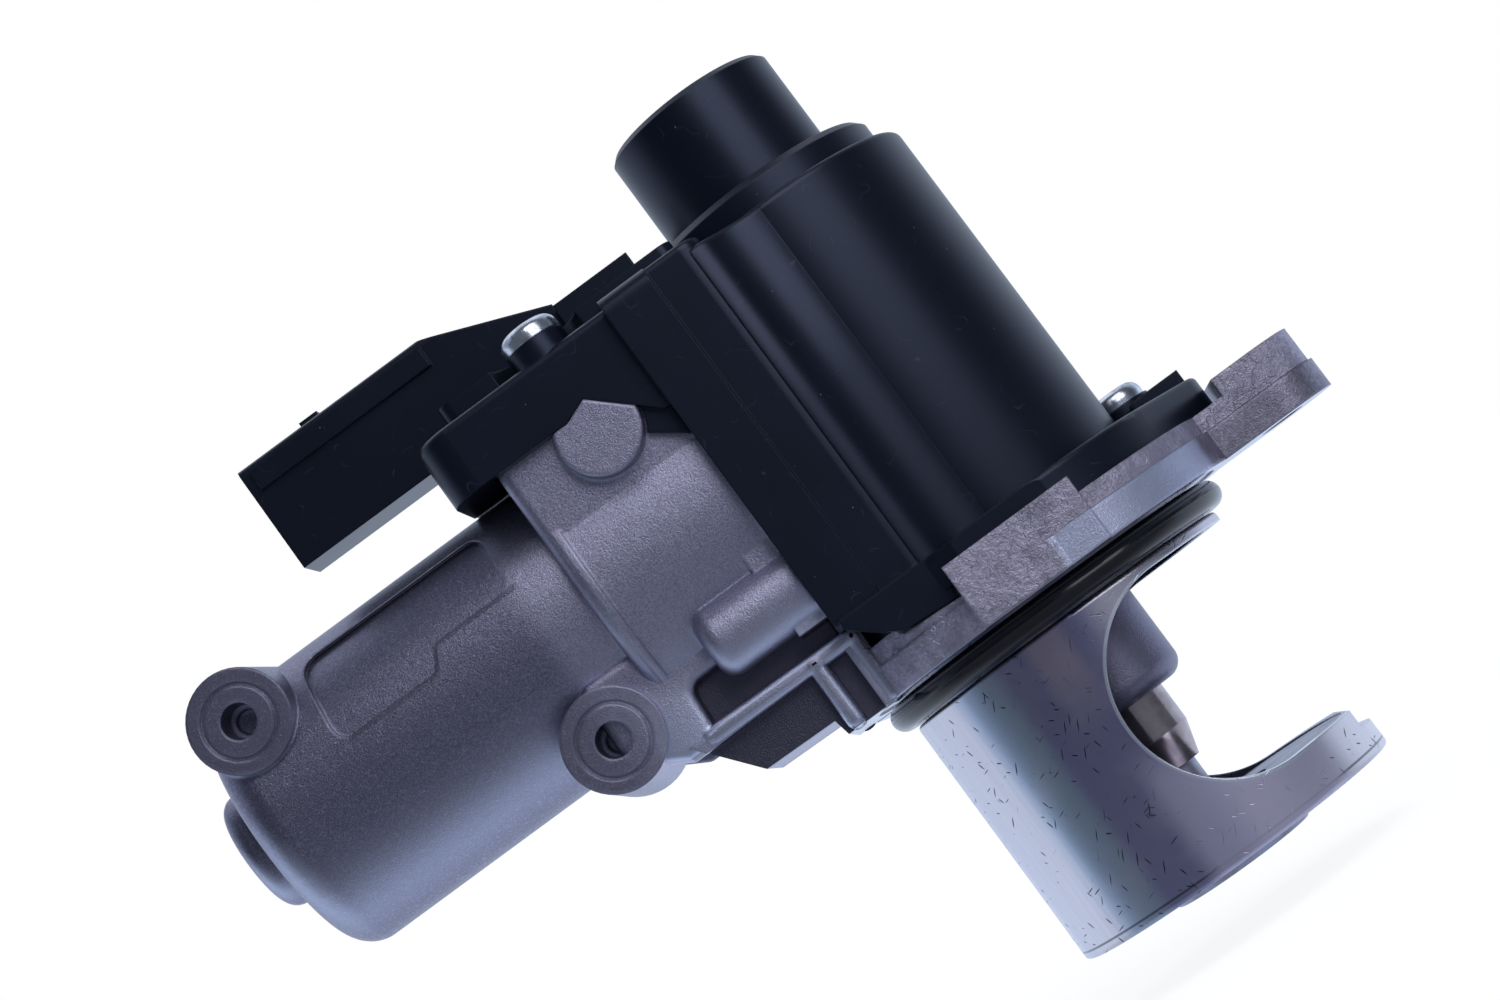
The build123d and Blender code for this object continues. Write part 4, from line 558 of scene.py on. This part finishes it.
class VALVE_OT_spigot(bpy.types.Operator):
    """Finish the plated spigot tube and the seat ring"""

    bl_idname = "valve.spigot"
    bl_label = "Spigot"

    def execute(self, context):
        look = context.scene.valve_tube
        f = Finish("zinc_plated_tube")
        along = f.stretched(1.0, 1.0, 0.03)
        streaks = f.noise(0.7, 3.0, 0.6, at=along)
        bands = f.noise(13.0, 2.0, 0.5, at=f.stretched(1.0, 1.0, 0.2), shift=7)
        bloom = f.noise(8.0, 3.0, 0.6, shift=3)
        # the plating's tints change in upright bands across the tube; the dark violet band over the front is
        # also painted shade
        colour = f.mix(f.x.between(-20, -17), look.plate, look.teal)
        colour = f.mix(f.x.between(-14, -11), colour, look.violet)
        colour = f.mix(f.x.between(-1, 6), colour, look.plate)
        colour = f.mix(bands.between(0.4, 0.62) * 0.25, colour, look.violet)
        colour = f.mix(bloom.between(0.45, 0.7) * 0.2, colour, look.plate)
        colour = f.mix(streaks.between(0.35, 0.75) * 0.12, colour, toned(0.55, look.plate))
        # soot in the bore, then dark dashes and nicks
        bore = f.from_axis().between(*TUBE_BORE)
        colour = f.mix(bore * 0.75, colour, (0.055, 0.055, 0.075))
        marks = f.dashes(2.3, 0.20, 3.4, 62, 13.0).larger(f.dashes(1.8, 0.18, 3.8, 20, 4.0))
        marks = marks.larger(f.dashes(1.5, 0.20, 3.8, 105, 8.0)).larger(f.dashes(1.1, 0.22, 3.6, 145, 2.0))
        marks = marks * f.noise(6.0, 1.0, shift=70).between(0.40, 0.48)
        nicks = f.specks(3.4, 0.06, 29)
        colour = f.mix(marks * 0.95, colour, (0.03, 0.03, 0.05))
        colour = f.mix(nicks * 0.6, colour, (0.05, 0.05, 0.075))
        line = f.z.inside(*TUBE_LINE_Z)
        colour = f.mix(line * 0.7, colour, (0.05, 0.05, 0.07))
        near = f.y.between(*FRONT_HALF_Y)
        # painted highlight, tinted brown: a bright streak down the tube's upper front
        brown_highlight = f.x.inside(-6.5, -3.5, 2.5) * f.z.between(-20.0, -8.0) * near
        colour = f.mix(brown_highlight * 0.5, colour, look.brown_highlight)
        # painted reflection: a pale lilac patch on the lower front of the tube
        lilac_reflection = f.x.inside(-3.0, 14.0, 4.0) * f.z.between(-22.0, -30.0) * near
        colour = f.mix(lilac_reflection * 0.75, colour, look.lilac_reflection)
        # painted highlight: a pale line on the window's rim and on the sharp edges
        edge_highlight = (0.86, 0.90, 1.0)
        aside, low = f.x - WINDOW_X, f.z + WINDOW_DROP
        window_rim_highlight = ((aside * aside + low * low) ** 0.5).inside(*WINDOW_RIM) * near
        colour = f.mix(window_rim_highlight * 0.75, colour, edge_highlight)
        colour = f.mix(f.edges(0.4) * 0.9, colour, edge_highlight)
        roughness = 0.18 + streaks * 0.07 + bloom * 0.07
        height = streaks * 0.3 - marks * 0.8 - nicks * 0.8 + f.noise(0.4, 2.0) * 0.15
        normal = f.bump(height, 0.012, f.rounded(0.3))
        material = f.surface(base_color=colour, roughness=roughness, metallic=0.95, normal=normal)
        coat(
            material,
            "spigot_tube",
            "spring_base",
            "spring_retainer",
            "motor_can",
            "motor_front_plate",
            "gear_plate",
        )
        self.seat()
        return {"FINISHED"}

    def seat(self):
        """The seat ring, with fine rings left by turning."""
        f = Finish("turned_seat")
        profile = f.node("ShaderNodeCombineXYZ", sockets={0: f.from_axis(), 1: f.z})
        turning = f.noise(0.25, 2.0, 0.5, at=profile)
        soot = f.noise(6.0, 4.0, 0.6)
        colour = f.mix(soot.between(0.4, 0.75), (0.34, 0.35, 0.43), (0.20, 0.20, 0.26))
        normal = f.bump(turning, 0.02, f.rounded(0.2))
        roughness = 0.3 + turning * 0.15
        material = f.surface(base_color=colour, roughness=roughness, metallic=0.9, normal=normal)
        coat(material, "seat_ring")


class VALVE_OT_seals(bpy.types.Operator):
    """Finish the rubber ring and seals"""

    bl_idname = "valve.seals"
    bl_label = "Seals"

    def execute(self, context):
        f = Finish("moulded_rubber")
        flash_radius, flash_z = RING_FLASH
        flash = f.from_axis().inside(*flash_radius) * f.z.inside(*flash_z)
        patchy = f.noise(2.4, 3.0, 0.6)
        colour = f.mix(patchy.between(0.4, 0.8), (0.0035, 0.0035, 0.006), (0.007, 0.0075, 0.012))
        height = f.noise(0.3, 2.0) * 0.15 + flash * 2.0
        normal = f.bump(height, 0.015)
        material = f.surface(base_color=colour, roughness=0.14 + patchy * 0.08, normal=normal)
        coat(material, "o_ring", "cover_seal", "stem_seal")
        return {"FINISHED"}


class VALVE_OT_mouldings(bpy.types.Operator):
    """Finish the black moulded cover, cap and connector"""

    bl_idname = "valve.mouldings"
    bl_label = "Mouldings"

    def execute(self, context):
        look = context.scene.valve_plastic
        f = Finish("black_moulding")
        fine = f.noise(0.18, 2.0, 0.6)
        waves = f.noise(14.0, 2.0, 0.5, shift=9)
        dust = f.specks(3.3, 0.035, 6)
        lint = f.scratches(5.0, 0.006, 0.16, shift=31)
        colour = f.mix(waves.between(0.3, 0.8), look.black, toned(1.4, look.black))
        colour = f.mix(dust * 0.7, colour, look.dust)
        colour = f.mix(lint * 0.25, colour, toned(0.6, look.dust))
        roughness = 0.27 + fine * 0.08 + waves * 0.05 + dust * 0.2
        normal = f.bump(fine * 0.5 + dust * 1.2, 0.010, f.rounded(0.4))
        material = f.surface(
            base_color=colour,
            roughness=roughness,
            specular_ior_level=0.52,
            specular_tint=(0.60, 0.70, 1.0, 1.0),
            normal=normal,
        )
        coat(material, "gear_cover", "sensor_cap", "connector_housing")
        self.corner_blend(look.corner / MM, look.hollow / MM, material)
        return {"FINISHED"}

    def corner_blend(self, round_r, hollow_r, material):
        """The soft corner where the box part of the cover runs out on to the drum, on the -Y side."""
        wall = -25.52           # y, just outside the box's side
        drum = 21.52            # radius, just outside the drum
        foot, top = 11.4, 63.4  # z of the corner's ends
        buried = 2.2            # how far the piece reaches into the cover
        landing = radians(-2.0)  # where on the drum the hollow ends, from straight along -Y
        round_steps, hollow_steps = 12, 16
        hollow = (drum + hollow_r) * sin(landing), -(drum + hollow_r) * cos(landing)
        rise = wall + round_r - hollow[1]
        reach = round_r + hollow_r
        middle = hollow[0] - (reach * reach - rise * rise) ** 0.5, wall + round_r
        steepest = asin((hollow[0] - middle[0]) / reach)
        line = []
        for i in range(round_steps + 1):
            turn = steepest * i / round_steps
            line.append((middle[0] + round_r * sin(turn), middle[1] - round_r * cos(turn)))
        for i in range(1, hollow_steps + 1):
            turn = steepest + (landing - steepest) * i / hollow_steps
            line.append((hollow[0] - hollow_r * sin(turn), hollow[1] + hollow_r * cos(turn)))
        # each row is drawn in by an amount at a height, so that the upper rim is rounded
        rim = ((0.0, top - 1.0), (0.14, top - 0.5), (0.5, top - 0.14), (1.0, top))
        rows = [(0.0, foot), (0.0, (foot + top) / 2), *rim]
        piece = bmesh.new()
        rings = []
        for sink, z in rows:
            outer = [point(piece, x, y + sink, z) for x, y in line]
            inner = [point(piece, x, y + buried, z) for x, y in reversed(line)]
            rings.append(outer + inner)
        join_rings(piece, rings)
        fix_on(piece, "cover_corner_blend", material)


class VALVE_OT_steel(bpy.types.Operator):
    """Finish the screws, the valve stem and its bush, and the spring"""

    bl_idname = "valve.steel"
    bl_label = "Steel pieces"

    def execute(self, context):
        f = Finish("bright_zinc_screw")
        worn = f.noise(1.2, 3.0, 0.6)
        colour = f.mix(worn.between(0.4, 0.7), (0.74, 0.78, 0.86), (0.42, 0.43, 0.50))
        normal = f.bump(f.noise(0.25, 2.0), 0.008, f.rounded(0.25))
        material = f.surface(base_color=colour, roughness=0.14 + worn * 0.15, metallic=0.95, normal=normal)
        coat(material, "lid_screws", "rim_screws", "gear_plate_screws", "motor_screws")
        f = Finish("polished_bush")
        stain = f.noise(3.0, 3.0, 0.6)
        colour = f.mix(stain.between(0.4, 0.65), (0.50, 0.43, 0.44), (0.40, 0.34, 0.35))
        normal = f.bump(f.noise(0.4, 2.0), 0.003, f.rounded(0.25))
        material = f.surface(base_color=colour, roughness=0.15, metallic=0.95, normal=normal)
        coat(material, "guide_bush", "idler_pin", "motor_shaft", "output_shaft")
        f = Finish("heat_stained_steel")
        stain = f.noise(5.0, 4.0, 0.6)
        colour = f.mix(stain.between(0.35, 0.7), (0.42, 0.43, 0.54), (0.30, 0.28, 0.34))
        normal = f.bump(f.noise(0.3, 3.0) * 0.6, 0.012, f.rounded(0.25))
        roughness = 0.28 + stain * 0.15
        material = f.surface(base_color=colour, roughness=roughness, metallic=0.9, normal=normal)
        coat(material, "poppet_valve")
        f = Finish("drawn_spring_wire")
        colour = f.mix(f.noise(1.0, 3.0), (0.10, 0.10, 0.115), (0.22, 0.21, 0.22))
        material = f.surface(base_color=colour, roughness=0.35 + f.noise(0.8) * 0.1, metallic=0.9)
        coat(material, "return_spring")
        self.closing_spring()
        return {"FINISHED"}

    def closing_spring(self):
        """The spring again, as a piece of its own with its own mesh, riding on the housing."""
        spring = bpy.data.objects.new("closing_spring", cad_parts["return_spring"].data.copy())
        bpy.context.scene.collection.objects.link(spring)
        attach(spring, "housing")
        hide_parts("return_spring")
        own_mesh(spring)


class VALVE_OT_drive(bpy.types.Operator):
    """Finish the gears, the motor and the sensor inside"""

    bl_idname = "valve.drive"
    bl_label = "Drive"

    def execute(self, context):
        plastic, metal = 0.0, 0.9
        self.plain("moulded_gear", (0.66, 0.62, 0.50), 0.42, plastic, "idler_gear", "sector_gear")
        self.plain("natural_nylon", (0.60, 0.56, 0.46), 0.42, plastic, "magnet_carrier", "brush_holder")
        self.plain("dark_moulding", (0.07, 0.068, 0.064), 0.45, plastic, "stem_rack")
        self.plain("sintered_bronze", (0.42, 0.27, 0.12), 0.42, metal, "motor_bearings", "output_bushes")
        terminals = "connector_terminals", "motor_terminals"
        self.plain("tinned_terminal", (0.62, 0.59, 0.50), 0.28, metal, *terminals)
        self.plain("copper_wire", (0.50, 0.19, 0.08), 0.33, metal, "armature_windings", "commutator")
        self.plain("stacked_iron", (0.16, 0.16, 0.165), 0.45, metal, "armature_core")
        self.plain("cut_brass", (0.58, 0.44, 0.17), 0.28, metal, "motor_pinion")
        self.plain("ground_ferrite", (0.06, 0.06, 0.063), 0.50, 0.2, "motor_magnets", "position_magnet")
        self.plain("pressed_carbon", (0.035, 0.035, 0.036), 0.55, 0.1, "brushes")
        self.plain("board_lacquer", (0.014, 0.11, 0.04), 0.30, plastic, "sensor_board")
        return {"FINISHED"}

    def plain(self, name, tone, roughness, metallic, *nodes):
        """One even finish with faint patches, fine grain and soft edges."""
        f = Finish(name)
        patchy = f.noise(1.8, 3.0, 0.6)
        fine = f.noise(0.25, 2.0)
        colour = f.mix(patchy.between(0.35, 0.7), tone, toned(0.75, tone))
        normal = f.bump(fine, 0.01, f.rounded(0.12))
        rough = roughness + fine * 0.1
        coat(f.surface(base_color=colour, roughness=rough, metallic=metallic, normal=normal), *nodes)


# ---------------------------------------------------------------- stage
FLOOR_Z = -0.0520                       # below the foot of the valve when it is fully open
LAMPS_AIM = Vector((-0.032, 0.0, 0.022))
LAMP_COLOUR = (0.92, 0.93, 1.0)
MIRRORED_COLOUR = (0.70, 0.81, 1.0)     # of the surroundings in reflections
WHITE = (1.0, 1.0, 1.0)
SHARP_RAYS = ("Is Camera Ray", "Is Glossy Ray", "Is Transmission Ray")
CAMERA_PLACE = (-0.0165, -0.4485, -0.0138)
CAMERA_RIGHT = Vector((0.8051, 0.0787, -0.5879))
CAMERA_DOWN = Vector((-0.5929, 0.0751, -0.8018))
CAMERA_AHEAD = Vector((-0.0190, 0.9941, 0.1072))


def panel_light(name, place, size, power):
    """A rectangular lamp that faces the valve."""
    lamp = bpy.data.lights.new(name, "AREA")
    lamp.shape = "RECTANGLE"
    lamp.size, lamp.size_y = size
    lamp.energy = power
    lamp.color = LAMP_COLOUR
    made = bpy.data.objects.new(name, lamp)
    made.location = place
    made.rotation_euler = (LAMPS_AIM - Vector(place)).to_track_quat("-Z", "Y").to_euler()
    bpy.context.scene.collection.objects.link(made)


class VALVE_OT_stage(bpy.types.Operator):
    """Set out the floor, the lamps, the surroundings and the camera"""

    bl_idname = "valve.stage"
    bl_label = "Stage"

    def execute(self, context):
        look = context.scene.valve_stage
        self.floor(look)
        self.surroundings(look)
        panel_light("soft_box", (0.287, -0.526, 0.463), (0.52, 0.76), 3.0)
        panel_light("top_panel", (-0.05, 0.35, 0.62), (0.7, 0.5), 0.5)
        self.camera(look)
        context.scene.view_settings.view_transform = "Standard"
        return {"FINISHED"}

    def floor(self, look):
        """A white floor that keeps the valve's shadow; reflections show it dark on the camera's side."""
        bpy.ops.mesh.primitive_plane_add(size=8.0, location=(0.0, 0.0, FLOOR_Z))
        floor = bpy.context.object
        floor.name = "floor"
        f = Finish("pale_floor")
        seen, glossy, through = f.outputs(f.node("ShaderNodeLightPath"), *SHARP_RAYS)
        # the floor reaches full white away from the valve
        white = 0.88 + f.from_axis().between(120, 420) * 0.12
        mirrored = look.shade + f.y.between(-60, 30) * (0.95 - look.shade)
        level = glossy * mirrored + (1 - glossy) * white
        tint = f.mix(glossy, WHITE, MIRRORED_COLOUR)
        glow = f.node("ShaderNodeEmission", sockets={"Color": tint, "Strength": level})
        shadow = f.node("ShaderNodeBsdfDiffuse", sockets={"Color": (0.22, 0.22, 0.22)})
        lit = f.node("ShaderNodeAddShader", sockets={0: glow, 1: shadow})
        matt = f.node("ShaderNodeBsdfDiffuse", sockets={"Color": (0.8, 0.8, 0.82)})
        sharp = seen.larger(glossy).larger(through)
        mixed = f.node("ShaderNodeMixShader", sockets={0: sharp, 1: matt, 2: lit})
        f.node("ShaderNodeOutputMaterial", sockets={"Surface": mixed})
        floor.data.materials.append(f.material)

    def surroundings(self, look):
        """White to the camera; in reflections pale behind the valve and dark on the camera's side."""
        world = bpy.data.worlds.new("surroundings")
        bpy.context.scene.world = world
        g = Graph(world)
        seen, glossy, through = g.outputs(g.node("ShaderNodeLightPath"), *SHARP_RAYS)
        toward = g.node("ShaderNodeTexCoord", out="Generated")
        aside, ahead, up = g.axes(toward)
        behind = (ahead - aside * 0.22).between(-0.18, 0.45)
        behind = behind * (1 - up.between(0.15, 0.65) * 0.45)
        before = ahead.between(-0.25, -0.75) * aside.between(-0.20, 0.40) * up.between(-0.5, -0.1)
        mirrored = look.shade + behind * (1.0 - look.shade) + before * look.glow
        sharp = seen.larger(through)
        level = sharp + glossy * mirrored + (1 - sharp.larger(glossy)) * look.sky
        colour = g.mix(sharp, MIRRORED_COLOUR, WHITE)
        sky = g.node("ShaderNodeBackground", sockets={"Color": colour, "Strength": level})
        g.node("ShaderNodeOutputWorld", sockets={"Surface": sky})

    def camera(self, look):
        """A long lens in front of the valve, rolled so that the spigot points down to the right."""
        camera = bpy.data.cameras.new("camera")
        camera.lens = look.lens
        camera.sensor_width = 36.0
        camera.clip_start = 0.01
        made = bpy.data.objects.new("camera", camera)
        bpy.context.scene.collection.objects.link(made)
        turn = Matrix((CAMERA_RIGHT, -CAMERA_DOWN, -CAMERA_AHEAD)).transposed().to_4x4()
        made.matrix_world = Matrix.Translation(CAMERA_PLACE) @ turn
        bpy.context.scene.camera = made


# ---------------------------------------------------------------- panel and main
OPERATORS = (
    VALVE_OT_casting,
    VALVE_OT_spigot,
    VALVE_OT_seals,
    VALVE_OT_mouldings,
    VALVE_OT_steel,
    VALVE_OT_drive,
    VALVE_OT_stage,
)
LOOKS = {
    "valve_casting": CastingLook,
    "valve_plastic": PlasticLook,
    "valve_tube": TubeLook,
    "valve_stage": StageLook,
}


class VALVE_PT_pieces(bpy.types.Panel):
    """Lists the valve's pieces and looks"""

    bl_idname = "VALVE_PT_pieces"
    bl_label = "Recirculation Valve"
    bl_space_type = "VIEW_3D"
    bl_region_type = "UI"
    bl_category = "Valve"

    def draw(self, context):
        for operator in OPERATORS:
            self.layout.operator(operator.bl_idname)
        for name, group in LOOKS.items():
            box = self.layout.box()
            for field in group.__annotations__:
                box.prop(getattr(context.scene, name), field)


def register():
    for name, group in LOOKS.items():
        bpy.utils.register_class(group)
        setattr(bpy.types.Scene, name, PointerProperty(type=group))
    for made in (*OPERATORS, VALVE_PT_pieces):
        bpy.utils.register_class(made)


def unregister():
    for made in (VALVE_PT_pieces, *reversed(OPERATORS)):
        bpy.utils.unregister_class(made)
    for name, group in LOOKS.items():
        delattr(bpy.types.Scene, name)
        bpy.utils.unregister_class(group)


def main():
    register()
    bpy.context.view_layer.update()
    bpy.ops.valve.casting()
    bpy.ops.valve.spigot()
    bpy.ops.valve.seals()
    bpy.ops.valve.mouldings()
    bpy.ops.valve.steel()
    bpy.ops.valve.drive()
    bpy.ops.valve.stage()


if __name__ == "__main__":
    main()
